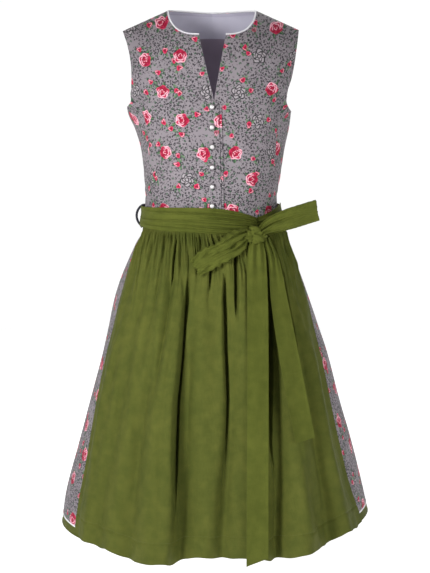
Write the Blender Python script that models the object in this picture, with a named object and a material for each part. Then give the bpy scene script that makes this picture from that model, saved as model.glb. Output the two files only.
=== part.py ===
"""Sleeveless dirndl dress with a gathered apron tied in a bow, as a hollow filled-out form.

Metres, +Z up, the front faces -Y. The origin is level with the shoulder points, over the middle
of the neck. Left and right are those of a person who looks at the front, so left is -X.
"""
import math
from collections import namedtuple

import bpy

# Driving sizes -----------------------------------------------------------------------------
SEAM_GAP = 0.0003
LAP_GAP = 0.0008  # between the lapped fronts
BODICE_WALL = 0.0016
LINING_WALL = 0.0010
SKIRT_WALL = 0.0014
APRON_WALL = 0.0013
BAND_WALL = 0.0016
TIE_WALL = 0.0013
ROUNDNESS = 2.2  # exponent of the level sections, 2 is an ellipse

WAIST_Z = -0.4135
NECK_X = 0.0838  # half width between the shoulder points at the neck
SHOULDER_SLOPE = 0.445
ARCH_Z = -0.150  # above this level the walls arch over to the shoulder
UNDERARM_Z = {-1: -0.1775, 1: -0.1860}
SEAM_TOP_Z = -0.155

BUTTON_RADIUS = 0.0047
BUTTON_X = 0.0003
BUTTON_LEVELS = (-0.1727, -0.2075, -0.2431, -0.2807, -0.3174, -0.3536)

PRINT_END_Z = -0.9635
PIPING_DROP = 0.0028
HEM_BAND_DROP = 0.0150
APRON_HEM_Z = -0.9785
HEM_SKEW = 0.060  # the hem turns a little, its left side forward

BAND_TOP_Z = -0.3660
BAND_FOOT_Z = -0.4085
BAND_END_DEG = 94.0
BAND_END_GAP_DEG = 0.17  # between the waistband's ends and the ties sewn to it
LAYER_ONE = 0.0036  # where the first sash layer's inner face stands off the dress
LAYER_TWO = 0.0058
TAIL_START_OUT = 0.012  # how far the tails' tops hang off the skirt, under the knot
BELT_LOOP_TOP_Z = -0.3545
BELT_LOOP_FOOT_Z = -0.4170
BELT_LOOP_WALL = 0.0011
BELT_LOOP_HALF_DEG = 0.9

KNOT = (0.0805, -0.4020)  # across and up
KNOT_HALF = (0.0225, 0.0100, 0.0140)  # across, through, up
KNOT_SQUARENESS = 2.8
TRIM_RADIUS = 0.0012
PIPING_PROUD = 0.0006
PIPING_WALL = 0.0024

# Level sections: half extents to the left, right, front and back of the middle --------------
Ring = namedtuple("Ring", "z left right front back")
TORSO = (
    Ring(-0.4135, 0.1320, 0.1370, 0.1000, 0.0920),
    Ring(-0.3600, 0.1270, 0.1235, 0.0960, 0.0860),
    Ring(-0.3020, 0.1290, 0.1305, 0.1000, 0.0890),
    Ring(-0.2550, 0.1343, 0.1371, 0.1075, 0.0940),
    Ring(-0.2174, 0.1453, 0.1450, 0.1140, 0.0990),
    Ring(-0.1900, 0.1575, 0.1485, 0.1165, 0.1025),
    Ring(-0.1500, 0.1625, 0.1530, 0.1140, 0.1050),
    Ring(-0.1000, 0.1670, 0.1620, 0.1140, 0.1050),
    Ring(-0.0300, 0.1740, 0.1700, 0.1140, 0.1050),
    Ring(0.0400, 0.1760, 0.1720, 0.1140, 0.1050),
)
SKIRT = (
    Ring(-0.4000, 0.1300, 0.1330, 0.0985, 0.0905),
    Ring(-0.4138, 0.1320, 0.1370, 0.1000, 0.0920),
    Ring(-0.4340, 0.1432, 0.1415, 0.1110, 0.1060),
    Ring(-0.4750, 0.1608, 0.1585, 0.1270, 0.1250),
    Ring(-0.5400, 0.1845, 0.1835, 0.1470, 0.1480),
    Ring(-0.6000, 0.1995, 0.2060, 0.1620, 0.1660),
    Ring(-0.6500, 0.2110, 0.2230, 0.1740, 0.1800),
    Ring(-0.7437, 0.2364, 0.2480, 0.1930, 0.2040),
    Ring(-0.8211, 0.2573, 0.2710, 0.2050, 0.2200),
    Ring(-0.9138, 0.2826, 0.2950, 0.2150, 0.2360),
    Ring(-0.9840, 0.2930, 0.3105, 0.2200, 0.2460),
)

# Where a bodice front ends outward: first its seam with the side, then its armhole edge -------
Edge = namedtuple("Edge", "z left right")
EDGES = (
    Edge(-0.4135, 0.1190, 0.1240),
    Edge(-0.3600, 0.1145, 0.1110),
    Edge(-0.3000, 0.1150, 0.1155),
    Edge(-0.2500, 0.1170, 0.1185),
    Edge(-0.2120, 0.1205, 0.1200),
    Edge(-0.1860, 0.1270, 0.1225),
    Edge(-0.1700, 0.1380, 0.1290),
    Edge(-0.1550, 0.1505, 0.1390),
    Edge(-0.1400, 0.1500, 0.1425),
    Edge(-0.1212, 0.1485, 0.1480),
    Edge(-0.0936, 0.1501, 0.1535),
    Edge(-0.0643, 0.1564, 0.1580),
    Edge(-0.0360, 0.1670, 0.1622),
)

# Sections of the two bodice fronts, from the waist up: the inner end of each, and the level of
# its outer end, which lies on EDGES. The last one is the shoulder seam.
Section = namedtuple("Section", "inner_x inner_z outer_z")
LEFT_FRONT = (
    Section(0.0230, -0.4135, -0.4135),
    Section(0.0218, -0.3600, -0.3620),
    Section(0.0205, -0.3000, -0.3060),
    Section(0.0192, -0.2450, -0.2560),
    Section(0.0182, -0.2050, -0.2170),
    Section(0.0176, -0.1660, -0.1860),
    Section(0.0035, -0.1600, -0.1690),
    Section(-0.0060, -0.1200, -0.1550),
    Section(-0.0155, -0.0790, -0.1320),
    Section(-0.0235, -0.0440, -0.1080),
    Section(-0.0450, -0.0425, -0.0840),
    Section(-0.0640, -0.0350, -0.0650),
    Section(-0.0770, -0.0210, -0.0500),
    Section(-0.0823, -0.0085, -0.0410),
    Section(-0.0838, 0.0000, -0.0360),
)
RIGHT_FRONT = (
    Section(0.0080, -0.4135, -0.4135),
    Section(0.0080, -0.3600, -0.3620),
    Section(0.0080, -0.3000, -0.3060),
    Section(0.0080, -0.2450, -0.2560),
    Section(0.0080, -0.2050, -0.2170),
    Section(0.0080, -0.1700, -0.1860),
    Section(0.0042, -0.1600, -0.1690),
    Section(0.0110, -0.1200, -0.1550),
    Section(0.0185, -0.0790, -0.1320),
    Section(0.0257, -0.0440, -0.1080),
    Section(0.0450, -0.0425, -0.0840),
    Section(0.0640, -0.0350, -0.0650),
    Section(0.0770, -0.0210, -0.0500),
    Section(0.0823, -0.0085, -0.0410),
    Section(0.0838, 0.0000, -0.0360),
)
SEAM_ROWS = 8  # sections whose outer end lies on the side-front seam

# Folds of the apron: the angle at the waist and at the hem, the half width in degrees at the
# hem, how far it rises (or, below zero, sinks) at the hem, and the level where it begins.
Fold = namedtuple("Fold", "waist hem width rise begins")
APRON_FOLDS = (
    Fold(-68, -54, 5.0, 0.007, -0.47),
    Fold(-46, -43, 3.5, -0.007, -0.50),
    Fold(-38, -35, 5.0, 0.010, -0.48),
    Fold(-30, -27, 2.5, -0.006, -0.50),
    Fold(-24, -17.5, 8.5, 0.040, -0.43),
    Fold(-15, -9.8, 2.6, -0.021, -0.45),
    Fold(-5, -2.0, 5.5, 0.014, -0.43),
    Fold(7.8, 2.4, 2.1, -0.018, -0.45),
    Fold(18, 13, 6.5, 0.022, -0.43),
    Fold(40, 19.5, 2.2, -0.022, -0.43),
    Fold(44, 28, 7.0, 0.040, -0.43),
    Fold(48, 42, 2.5, -0.012, -0.44),
    Fold(56, 50, 4.5, 0.010, -0.47),
)
APRON_LIFT = 0.012  # how far the apron's hem stands off the skirt between its folds
APRON_GAP = 0.0015
APRON_LEVELS = (
    -0.4090, -0.4200, -0.4400, -0.4700, -0.5150, -0.5750,
    -0.6450, -0.7250, -0.8100, -0.8950, APRON_HEM_Z,
)
APRON_GATHERS = 40
GATHER_HEIGHT = 0.0021
Side = namedtuple("Side", "z left right")
APRON_SIDES = (
    Side(-0.4090, -88.0, 88.0),
    Side(-0.4700, -74.5, 86.0),
    Side(-0.5200, -70.5, 79.0),
    Side(-0.5800, -69.5, 70.0),
    Side(-0.6450, -70.0, 66.0),
    Side(-0.7200, -67.5, 64.5),
    Side(-0.8100, -63.5, 63.0),
    Side(-0.8900, -61.0, 65.0),
    Side(-0.9840, -60.0, 68.0),
)

SKIRT_LEVELS = (
    -0.4138, -0.4260, -0.4500, -0.4950, -0.5600,
    -0.6400, -0.7250, -0.8100, -0.8900, PRINT_END_Z,
)
SKIRT_FRONT_COLUMNS = 24
SKIRT_BACK_GATHERS = 32
SKIRT_GATHER_HEIGHT = 0.0020
BACK_FOLDS = 12
BACK_FOLD_DEPTH = 0.017

# How much higher than level the hem of the skirt and that of the apron hang, round the form
Hem = namedtuple("Hem", "angle skirt apron")
HEMS = (
    Hem(-180, 0.005, 0.000),
    Hem(-120, 0.007, 0.000),
    Hem(-75, 0.009, 0.008),
    Hem(-50, 0.006, 0.005),
    Hem(-40, 0.003, 0.002),
    Hem(-28, -0.001, -0.008),
    Hem(-18, 0.000, -0.004),
    Hem(-8, 0.001, -0.003),
    Hem(3, 0.001, 0.001),
    Hem(12, 0.001, -0.002),
    Hem(21, 0.000, -0.0085),
    Hem(30, 0.004, 0.000),
    Hem(39, 0.009, 0.007),
    Hem(50, 0.015, 0.015),
    Hem(80, 0.019, 0.019),
    Hem(120, 0.012, 0.000),
    Hem(180, 0.005, 0.000),
)

Path = namedtuple("Path", "z left right")
LONG_TAIL = (
    Path(-0.4137, 0.0700, 0.0920),
    Path(-0.4450, 0.0645, 0.0985),
    Path(-0.5200, 0.0640, 0.1020),
    Path(-0.6500, 0.0640, 0.1025),
    Path(-0.8000, 0.0630, 0.1020),
    Path(-0.9780, 0.0624, 0.1017),
)
LONG_TAIL_END = (-0.9915, -0.9780)  # level of its left and right corner
SHORT_TAIL = (
    Path(-0.4137, 0.0935, 0.1075),
    Path(-0.4500, 0.1035, 0.1225),
    Path(-0.5190, 0.1075, 0.1375),
    Path(-0.6200, 0.1215, 0.1580),
    Path(-0.7700, 0.1505, 0.1875),
)
SHORT_TAIL_END = (-0.7735, -0.7665)

# Centre line and half width of the bow's loops, by the share of the way out from the knot
Station = namedtuple("Station", "share x y z half")
RIGHT_LOOP = (
    Station(0.00, 0.1019, -0.0995, -0.3883, 0.0085),
    Station(0.25, 0.1180, -0.1040, -0.3790, 0.0160),
    Station(0.50, 0.1400, -0.1030, -0.3715, 0.0210),
    Station(0.75, 0.1650, -0.0960, -0.3650, 0.0205),
    Station(1.00, 0.1915, -0.0835, -0.3590, 0.0197),
)
LEFT_LOOP = (
    Station(0.00, 0.0705, -0.1090, -0.4020, 0.0085),
    Station(0.25, 0.0420, -0.1270, -0.4230, 0.0190),
    Station(0.50, 0.0190, -0.1360, -0.4360, 0.0215),
    Station(0.75, -0.0060, -0.1410, -0.4495, 0.0205),
    Station(1.00, -0.0270, -0.1470, -0.4620, 0.0185),
)
LOOP_GAP = 0.0030


# Colour (linear), roughness and metallic of each material
MATERIALS = (
    ("printed_cotton", (0.30, 0.26, 0.28), 0.80, 0.0),
    ("lining", (0.50, 0.48, 0.56), 0.70, 0.0),
    ("green_cotton", (0.105, 0.145, 0.025), 0.55, 0.0),
    ("white_trim", (0.80, 0.78, 0.82), 0.80, 0.0),
    ("dark_loop", (0.01, 0.01, 0.02), 0.70, 0.0),
    ("button_metal", (0.75, 0.73, 0.72), 0.30, 1.0),
)


# Small helpers --------------------------------------------------------------------------------
def ease(x):
    """0 to 1 with soft ends."""
    x = min(max(x, 0.0), 1.0)
    return x * x * (3.0 - 2.0 * x)


def mix(a, b, t):
    return a + (b - a) * t


def steps(count):
    return [i / count for i in range(count + 1)]


def column(rows, field, at, key="z"):
    """One column of a table as a smooth curve, read at the given value of its key column."""
    keys = [getattr(row, key) for row in rows]
    values = [getattr(row, field) for row in rows]
    if keys[0] > keys[-1]:
        keys.reverse()
        values.reverse()
    if at <= keys[0]:
        return values[0]
    if at >= keys[-1]:
        return values[-1]
    i = max(k for k in range(len(keys) - 1) if keys[k] <= at)

    def slope(k):
        low, high = max(k - 1, 0), min(k + 1, len(keys) - 1)
        return (values[high] - values[low]) / (keys[high] - keys[low])

    span = keys[i + 1] - keys[i]
    t = (at - keys[i]) / span
    first = (1 + 2 * t) * (1 - t) ** 2 * values[i] + t * (1 - t) ** 2 * span * slope(i)
    return first + t * t * (3 - 2 * t) * values[i + 1] - t * t * (1 - t) * span * slope(i + 1)


def add(p, q, scale=1.0):
    return tuple(a + b * scale for a, b in zip(p, q))


def unit(v):
    length = math.sqrt(sum(a * a for a in v))
    return tuple(a / length for a in v)


def cross(p, q):
    return (p[1] * q[2] - p[2] * q[1], p[2] * q[0] - p[0] * q[2], p[0] * q[1] - p[1] * q[0])


def cloth(name, colour, roughness, metallic):
    material = bpy.data.materials.new(name)
    material.use_nodes = True
    shader = material.node_tree.nodes["Principled BSDF"]
    shader.inputs["Base Color"].default_value = (*colour, 1.0)
    shader.inputs["Roughness"].default_value = roughness
    shader.inputs["Metallic"].default_value = metallic
    material.diffuse_color = (*colour, 1.0)
    return material


def solid(name, points, faces, material):
    """One closed body from points and faces, turned so that its faces point out."""
    volume = 0.0
    for face in faces:
        a = points[face[0]]
        for b, c in zip(face[1:], face[2:]):
            volume += sum(x * y for x, y in zip(a, cross(points[b], points[c])))
    if volume < 0:
        faces = [(face[0], *reversed(face[1:])) for face in faces]
    mesh = bpy.data.meshes.new(name)
    mesh.from_pydata(points, [], faces)
    mesh.materials.append(material)
    mesh.shade_smooth()
    mesh.set_sharp_from_angle(angle=math.radians(50))
    body = bpy.data.objects.new(name, mesh)
    bpy.context.collection.objects.link(body)
    return body


def wall(name, outer, inner, material):
    """A closed wall between two grids of points, rows of the same length."""
    rows, columns = len(outer), len(outer[0])
    points = [p for grid in (outer, inner) for row in grid for p in row]

    def at(side, r, c):
        return (side * rows + r) * columns + c

    faces = []
    for r in range(rows - 1):
        for c in range(columns - 1):
            faces.append((at(0, r, c), at(0, r, c + 1), at(0, r + 1, c + 1), at(0, r + 1, c)))
            faces.append((at(1, r, c), at(1, r + 1, c), at(1, r + 1, c + 1), at(1, r, c + 1)))
    for c in range(columns - 1):
        faces.append((at(0, 0, c + 1), at(0, 0, c), at(1, 0, c), at(1, 0, c + 1)))
        last = rows - 1
        faces.append((at(0, last, c), at(0, last, c + 1), at(1, last, c + 1), at(1, last, c)))
    for r in range(rows - 1):
        faces.append((at(0, r, 0), at(0, r + 1, 0), at(1, r + 1, 0), at(1, r, 0)))
        last = columns - 1
        faces.append((at(0, r + 1, last), at(0, r, last), at(1, r, last), at(1, r + 1, last)))
    return solid(name, points, faces, material)


# Torso form -------------------------------------------------------------------------------------
def half_width(x, z):
    return column(TORSO, "left" if x < 0 else "right", z)


def ridge_z(x):
    """Level of the shoulder line, carried on as a straight line over the neck."""
    return -SHOULDER_SLOPE * (abs(x) - NECK_X)


def arch(x, z, front):
    """1 up to ARCH_Z, then down to 0 at the shoulder line."""
    t = min(max((z - ARCH_Z) / (ridge_z(x) - ARCH_Z), 0.0), 0.9999)
    power, round_off = (1.90, 0.66) if front else (1.90, 0.60)
    return (1.0 - t**power) ** round_off


def fullness(x, z):
    """Bust room that the side-front seams give."""
    return 0.008 * math.exp(-(((abs(x) - 0.074) / 0.044) ** 2) - ((z + 0.190) / 0.045) ** 2)


def torso_depth(x, z, front):
    depth = column(TORSO, "front" if front else "back", z)
    if front:
        depth += fullness(x, z)
    return depth * arch(x, z, front)


def torso_y(x, z, front):
    share = min(abs(x) / half_width(x, z), 0.9999)
    y = torso_depth(x, z, front) * (1.0 - share**ROUNDNESS) ** (1.0 / ROUNDNESS)
    return -y if front else y


def torso_normal(x, y, z, front):
    """Outward direction, from the slope of the form's own equation."""

    def level(px, py, pz):
        across = (abs(px) / half_width(px, pz)) ** ROUNDNESS
        return across + (abs(py) / max(torso_depth(px, pz, front), 1e-4)) ** ROUNDNESS

    d = 1e-4
    return unit(
        (
            level(x + d, y, z) - level(x - d, y, z),
            level(x, y + d, z) - level(x, y - d, z),
            level(x, y, z + d) - level(x, y, z - d),
        )
    )


def torso_point(x, z, front, out):
    """A point of the front or back, moved out from the form. On the shoulder line it moves up."""
    on_ridge = z > ridge_z(x) - 1e-6
    if on_ridge:
        nx, _, nz = torso_normal(x, torso_y(x, z - 0.003, front), z - 0.003, front)
        y = (-0.5 if front else 0.5) * SEAM_GAP
        return add((x, y, z), unit((nx, 0.0, nz)), out)
    y = torso_y(x, z, front)
    return add((x, y, z), torso_normal(x, y, z, front), out)


def torso_ring_point(angle, z, out):
    """The same form by its angle in degrees from the front, for the stretch round the side."""
    a = math.radians(angle)
    power = 2.0 / ROUNDNESS
    x = math.copysign(abs(math.sin(a)) ** power, math.sin(a))
    x *= half_width(x, z)
    front = math.cos(a) >= 0
    y = -math.copysign(abs(math.cos(a)) ** power, math.cos(a)) * torso_depth(x, z, front)
    return add((x, y, z), torso_normal(x, y, z, front), out)


def edge_x(z, side):
    return side * column(EDGES, "left" if side < 0 else "right", z)


def angle_of(x, width):
    """The angle of a point of a level section, for its x and the section's half width."""
    return math.degrees(math.asin(min(abs(x) / width, 1.0) ** (ROUNDNESS / 2.0)))


def lap(x):
    """How far the left front stands out where it laps over the right one."""
    return (BODICE_WALL + LAP_GAP) * ease((x + 0.010) / 0.011)


def bodice_front(name, sections, side, material):
    across = steps(10)

    def grid(out):
        rows = []
        for section in sections:
            end = edge_x(section.outer_z, side) - side * 0.5 * SEAM_GAP
            row = []
            for u in across:
                t = u + 0.12 * math.sin(2 * math.pi * u) / (2 * math.pi)
                x = mix(section.inner_x, end, t)
                z = mix(section.inner_z, section.outer_z, t)
                if section is sections[-1]:
                    z = ridge_z(x)
                row.append(torso_point(x, z, True, out + (lap(x) if side < 0 else 0.0)))
            rows.append(row)
        return rows

    return wall(name, grid(0.0), grid(-BODICE_WALL), material)


def bodice_side(name, side, material):
    def grid(out):
        rows = []
        for section in LEFT_FRONT[:SEAM_ROWS]:
            v = (section.outer_z - WAIST_Z) / (SEAM_TOP_Z - WAIST_Z)
            row = []
            for u in steps(8):
                dip = (SEAM_TOP_Z - UNDERARM_Z[side]) * math.sin(math.pi * u) ** 0.8
                z = mix(WAIST_Z, SEAM_TOP_Z - dip, v)
                seam = angle_of(edge_x(z, side), half_width(side, z))
                margin = math.degrees(0.5 * SEAM_GAP / 0.1)
                angle = side * mix(seam + margin, 180 - seam - margin, u)
                row.append(torso_ring_point(angle, z, out))
            rows.append(row)
        return rows

    return wall(name, grid(0.0), grid(-BODICE_WALL), material)


def back_neck_z(x):
    """The back neck edge, a little lower in the middle."""
    return -0.004 * math.cos(0.5 * math.pi * min(abs(x) / NECK_X, 1.0)) ** 2


def back_grid(out, margin, sections=LEFT_FRONT, foot=WAIST_Z):
    """Points of the back, from the waist to the shoulder line and the neck edge."""
    tips = [edge_x(EDGES[-1].z, side) for side in (-1, 1)]
    neck = [(side * NECK_X - tips[0]) / (tips[1] - tips[0]) for side in (-1, 1)]
    across = [mix(0, neck[0], u) for u in steps(3)[:-1]]
    across += [mix(neck[0], neck[1], u) for u in steps(10)]
    across += [mix(neck[1], 1, u) for u in steps(3)[1:]]
    rows = []
    for section in sections:
        level = max(section.outer_z, foot)
        shares = [(level - foot) / (ridge_z(tip) - foot) for tip in tips]
        start = edge_x(level, -1) + margin
        end = edge_x(level, 1) - margin
        row = []
        for u in across:
            x = mix(start, end, u)
            top = mix(tips[0], tips[1], u)
            top_z = ridge_z(top) if abs(top) > NECK_X - 1e-4 else back_neck_z(top)
            z = mix(foot, top_z, min(mix(shares[0], shares[1], u), 1.0))
            row.append(torso_point(x, z, False, out))
        rows.append(row)
    return rows


def bodice_back(material):
    margin = 0.5 * SEAM_GAP
    return wall("bodice_back", back_grid(0.0, margin), back_grid(-BODICE_WALL, margin), material)


# Skirt form -------------------------------------------------------------------------------------
def skirt_frame(angle, z):
    """A point of the smooth skirt form and the level direction out of it."""

    def at(degrees):
        a = math.radians(degrees)
        power = 2.0 / ROUNDNESS
        sine, cosine = math.sin(a), math.cos(a)
        width = column(SKIRT, "left" if sine < 0 else "right", z)
        depth = column(SKIRT, "front" if cosine > 0 else "back", z)
        x = math.copysign(abs(sine) ** power, sine) * width
        y = -math.copysign(abs(cosine) ** power, cosine) * depth
        return x, y + HEM_SKEW * ease((WAIST_Z - z) / 0.55) * x

    x, y = at(angle)
    before, after = at(angle - 0.4), at(angle + 0.4)
    run = (after[0] - before[0], after[1] - before[1])
    length = math.hypot(*run)
    return (x, y, z), (run[1] / length, -run[0] / length, 0.0)


def skirt_point(angle, z, out):
    point, normal = skirt_frame(angle, z)
    return add(point, normal, out)


def fall(z):
    """0 at the waist, 1 at the hem."""
    return min(max((WAIST_Z - z) / (WAIST_Z - PRINT_END_Z), 0.0), 1.0)


def hung(angle, z, piece):
    """The level at which a row of the skirt or the apron lies there, for its level at the seam."""
    rise = column(HEMS, piece, (angle + 180) % 360 - 180, key="angle")
    return z + rise * fall(z) ** 3


def back_folds(angle, z):
    """How far the skirt sinks in between its folds, round the sides and the back."""
    depth = 0.0
    for k in range(BACK_FOLDS):
        middle = 101 + k * 14.4 + 2.4 * math.sin(2.3 * k)
        half = 4.6 + 1.0 * math.sin(3.1 * k)
        weight = BACK_FOLD_DEPTH * (1 + 0.35 * math.sin(1.7 * k + 0.5))
        off = (angle % 360 - middle) / half
        depth += weight * math.exp(-off * off)
    return depth * ease(fall(z) / 0.75)


def skirt_gather(index, z):
    """Ridge or trough of the gathers at the waist, which run out at uneven lengths."""
    reach = 0.10 + 0.05 * math.sin(1.9 * index)
    height = SKIRT_GATHER_HEIGHT * (1 + 0.3 * math.sin(2.7 * index))
    height *= math.exp(-(((WAIST_Z - z) / reach) ** 2))
    return height if index % 2 else -height


def skirt_angles():
    """Angles of the columns, from the left side seam round the front and the back to it again."""
    front = [mix(-90, 90, u) for u in steps(SKIRT_FRONT_COLUMNS)]
    back = [mix(90, 270, u) for u in steps(2 * SKIRT_BACK_GATHERS)]
    return front, back


def skirt_out(angle, z, index=None):
    out = -back_folds(angle, z) if 90 < angle < 270 else 0.0
    if index is not None:
        out += skirt_gather(index, z) * ease(min(angle - 90, 270 - angle) / 6.0)
    return out


def skirt_rows(levels, out, back):
    """Grid of one skirt piece. Its ends stop half a seam gap short of the side seams."""
    front_angles, back_angles = skirt_angles()
    angles = back_angles if back else front_angles
    rows = []
    for z in levels:
        row = []
        for index, angle in enumerate(angles):
            trim = math.degrees(0.5 * SEAM_GAP / column(SKIRT, "front", z))
            angle = min(max(angle, angles[0] + trim), angles[-1] - trim)
            level = hung(angle, z, "skirt")
            lift = skirt_out(angle, level, index) if back else 0.0
            row.append(skirt_point(angle, level, lift + out))
        rows.append(row)
    return rows


def skirt_piece(name, levels, back, material, proud=0.0, thickness=SKIRT_WALL):
    outer = skirt_rows(levels, proud, back)
    inner = skirt_rows(levels, proud - thickness, back)
    return wall(name, outer, inner, material)


# Apron ------------------------------------------------------------------------------------------
def apron_fold(angle, z):
    """How far the apron's outer face stands off the skirt."""
    down = fall(z)
    out = APRON_LIFT * down
    for fold in APRON_FOLDS:
        middle = mix(fold.waist, fold.hem, down**0.8)
        half = fold.width * mix(0.75, 1.0, down)
        start = ease((fold.begins - z) / 0.16)
        size = fold.rise * start * mix(0.35, 1.0, down)
        out += size * math.exp(-(((angle - middle) / half) ** 2))
    left, right = column(APRON_SIDES, "left", z), column(APRON_SIDES, "right", z)
    out *= ease((angle - left) / 13.0) * ease((right - angle) / 13.0)
    floor = 0.0006
    soft = 0.5 * (out + math.sqrt(out * out + floor * floor))
    near_waist = APRON_GAP * ease(1 - down / 0.10)
    return APRON_GAP + near_waist + APRON_WALL + soft


def apron_gather(index, z):
    """How far every second column stands out in the gathers under the waistband."""
    if index % 2 == 0:
        return 0.0
    reach = 0.085 + 0.045 * math.sin(2.1 * index + 0.6)
    height = 2.0 * GATHER_HEIGHT * (1 + 0.3 * math.sin(1.3 * index))
    return height * math.exp(-(((WAIST_Z - z) / reach) ** 2))


def band_foot(angle):
    """Level of the waistband's lower edge, which hangs a little in the middle."""
    return BAND_FOOT_Z - 0.0035 * math.cos(math.radians(90 * angle / BAND_END_DEG))


def apron(material):
    columns = 2 * APRON_GATHERS
    top = APRON_LEVELS[0]

    def grid(out):
        rows = []
        for z in APRON_LEVELS:
            left = column(APRON_SIDES, "left", z)
            right = column(APRON_SIDES, "right", z)
            row = []
            for index, u in enumerate(steps(columns)):
                angle = mix(left, right, u)
                sag = (band_foot(angle) - SEAM_GAP - top) * max(1 - (top - z) / 0.06, 0.0)
                level = hung(angle, z, "apron")
                lift = apron_fold(angle, level) + apron_gather(index, level) + out
                row.append(skirt_point(angle, level + sag, lift))
            rows.append(row)
        return rows

    return wall("apron_panel", grid(0.0), grid(-APRON_WALL), material)


# Sash -------------------------------------------------------------------------------------------
def waist_point(angle, z, out):
    """A point at the waist, above the waist seam on the bodice and below it on the skirt."""
    if z > WAIST_Z:
        return torso_ring_point(angle, z, out)
    return skirt_point(angle, z, out)


def sash(name, ends, edges, layer, counts, crease, material):
    """A stretch of band round the waist.

    ends holds its two angles, edges its upper and lower edge by the share of the way along, and
    counts its columns and rows.
    """
    top, foot = edges

    def grid(out):
        rows = []
        for v in steps(counts[1]):
            row = []
            for u in steps(counts[0]):
                angle = mix(ends[0], ends[1], u)
                z = mix(foot(u), top(u), v)
                row.append(waist_point(angle, z, out + crease(u, v)))
            rows.append(row)
        return rows

    return wall(name, grid(layer + BAND_WALL), grid(layer), material)


def flat(u, v):
    return 0.0


def front_tie_crease(u, v):
    """Ridges that run together towards the knot."""
    return 0.0012 * (0.5 + 0.5 * math.cos(2 * math.pi * 2.5 * v)) * ease(u / 0.5)


def waistband_foot(u):
    return band_foot(mix(-BAND_END_DEG, BAND_END_DEG, u))


def tie_left_top(u):
    swell = mix(-0.3620, -0.3575, math.sin(math.pi * min(u / 0.75, 1.0)))
    return swell - 0.020 * ease((u - 0.45) / 0.55)


def tie_left_foot(u):
    return mix(-0.4000, -0.4040, ease(u / 0.6)) + 0.004 * ease((u - 0.6) / 0.4)


def tie_right_top(u):
    return mix(-0.3580, -0.3800, ease(u))


def tie_right_foot(u):
    return mix(-0.4010, -0.4060, ease(u))


def sashes(material):
    """The waistband, and the ties: twice round the back, then each side to the knot in front."""
    end = BAND_END_DEG
    behind = (end + BAND_END_GAP_DEG, 360 - end - BAND_END_GAP_DEG)
    under = (lambda u: BAND_TOP_Z, lambda u: BAND_FOOT_Z)
    over = (lambda u: BAND_TOP_Z + 0.002, lambda u: BAND_FOOT_Z + 0.002)
    band = (lambda u: BAND_TOP_Z, waistband_foot)
    left = (tie_left_top, tie_left_foot)
    right = (tie_right_top, tie_right_foot)
    sash("apron_waistband", (-end, end), band, LAYER_ONE, (32, 3), flat, material)
    sash("tie_back_under", behind, under, LAYER_ONE, (24, 2), flat, material)
    sash("tie_back_over", behind, over, LAYER_TWO, (24, 2), flat, material)
    sash("tie_front_left", (-end, 31.0), left, LAYER_TWO, (22, 6), front_tie_crease, material)
    sash("tie_front_right", (end, 47.0), right, LAYER_TWO, (10, 4), flat, material)


# Bow --------------------------------------------------------------------------------------------
def knot_centre():
    """The middle of the knot and the level direction out of the waist there."""
    z = KNOT[1]
    angle = angle_of(KNOT[0], half_width(1, z))
    point = torso_ring_point(angle, z, LAYER_TWO + BAND_WALL + KNOT_HALF[1])
    level = unit((*torso_normal(*torso_ring_point(angle, z, 0.0), True)[:2], 0.0))
    return point, level


def knot(material):
    """A rounded lump with the creases of the band that wraps it."""
    centre, out = knot_centre()
    along = (-out[1], out[0], 0.0)
    columns, rows, power = 16, 8, 2.0 / KNOT_SQUARENESS
    points = []
    for r in range(1, rows):
        rise = mix(-90, 90, r / rows)
        for c in range(columns):
            turn = 360.0 * c / columns
            cr, sr = math.cos(math.radians(rise)), math.sin(math.radians(rise))
            ct, st = math.cos(math.radians(turn)), math.sin(math.radians(turn))
            a = KNOT_HALF[0] * math.copysign(abs(cr * ct) ** power, ct)
            b = KNOT_HALF[1] * math.copysign(abs(cr * st) ** power, st)
            h = KNOT_HALF[2] * math.copysign(abs(sr) ** power, sr)
            groove = 1.0 - 0.07 * (1 + math.cos(math.radians(4 * turn)))
            b *= groove
            points.append(add(add(add(centre, along, a), out, b), (0, 0, 1), h))
    low, high = len(points), len(points) + 1
    points.append(add(centre, (0, 0, -1), KNOT_HALF[2]))
    points.append(add(centre, (0, 0, 1), KNOT_HALF[2]))
    faces = []
    for c in range(columns):
        n = (c + 1) % columns
        faces.append((low, n, c))
        top = (rows - 2) * columns
        faces.append((top + c, top + n, high))
        for r in range(rows - 2):
            a = r * columns
            faces.append((a + c, a + n, a + columns + n, a + columns + c))
    return solid("bow_knot", points, faces, material)


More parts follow.
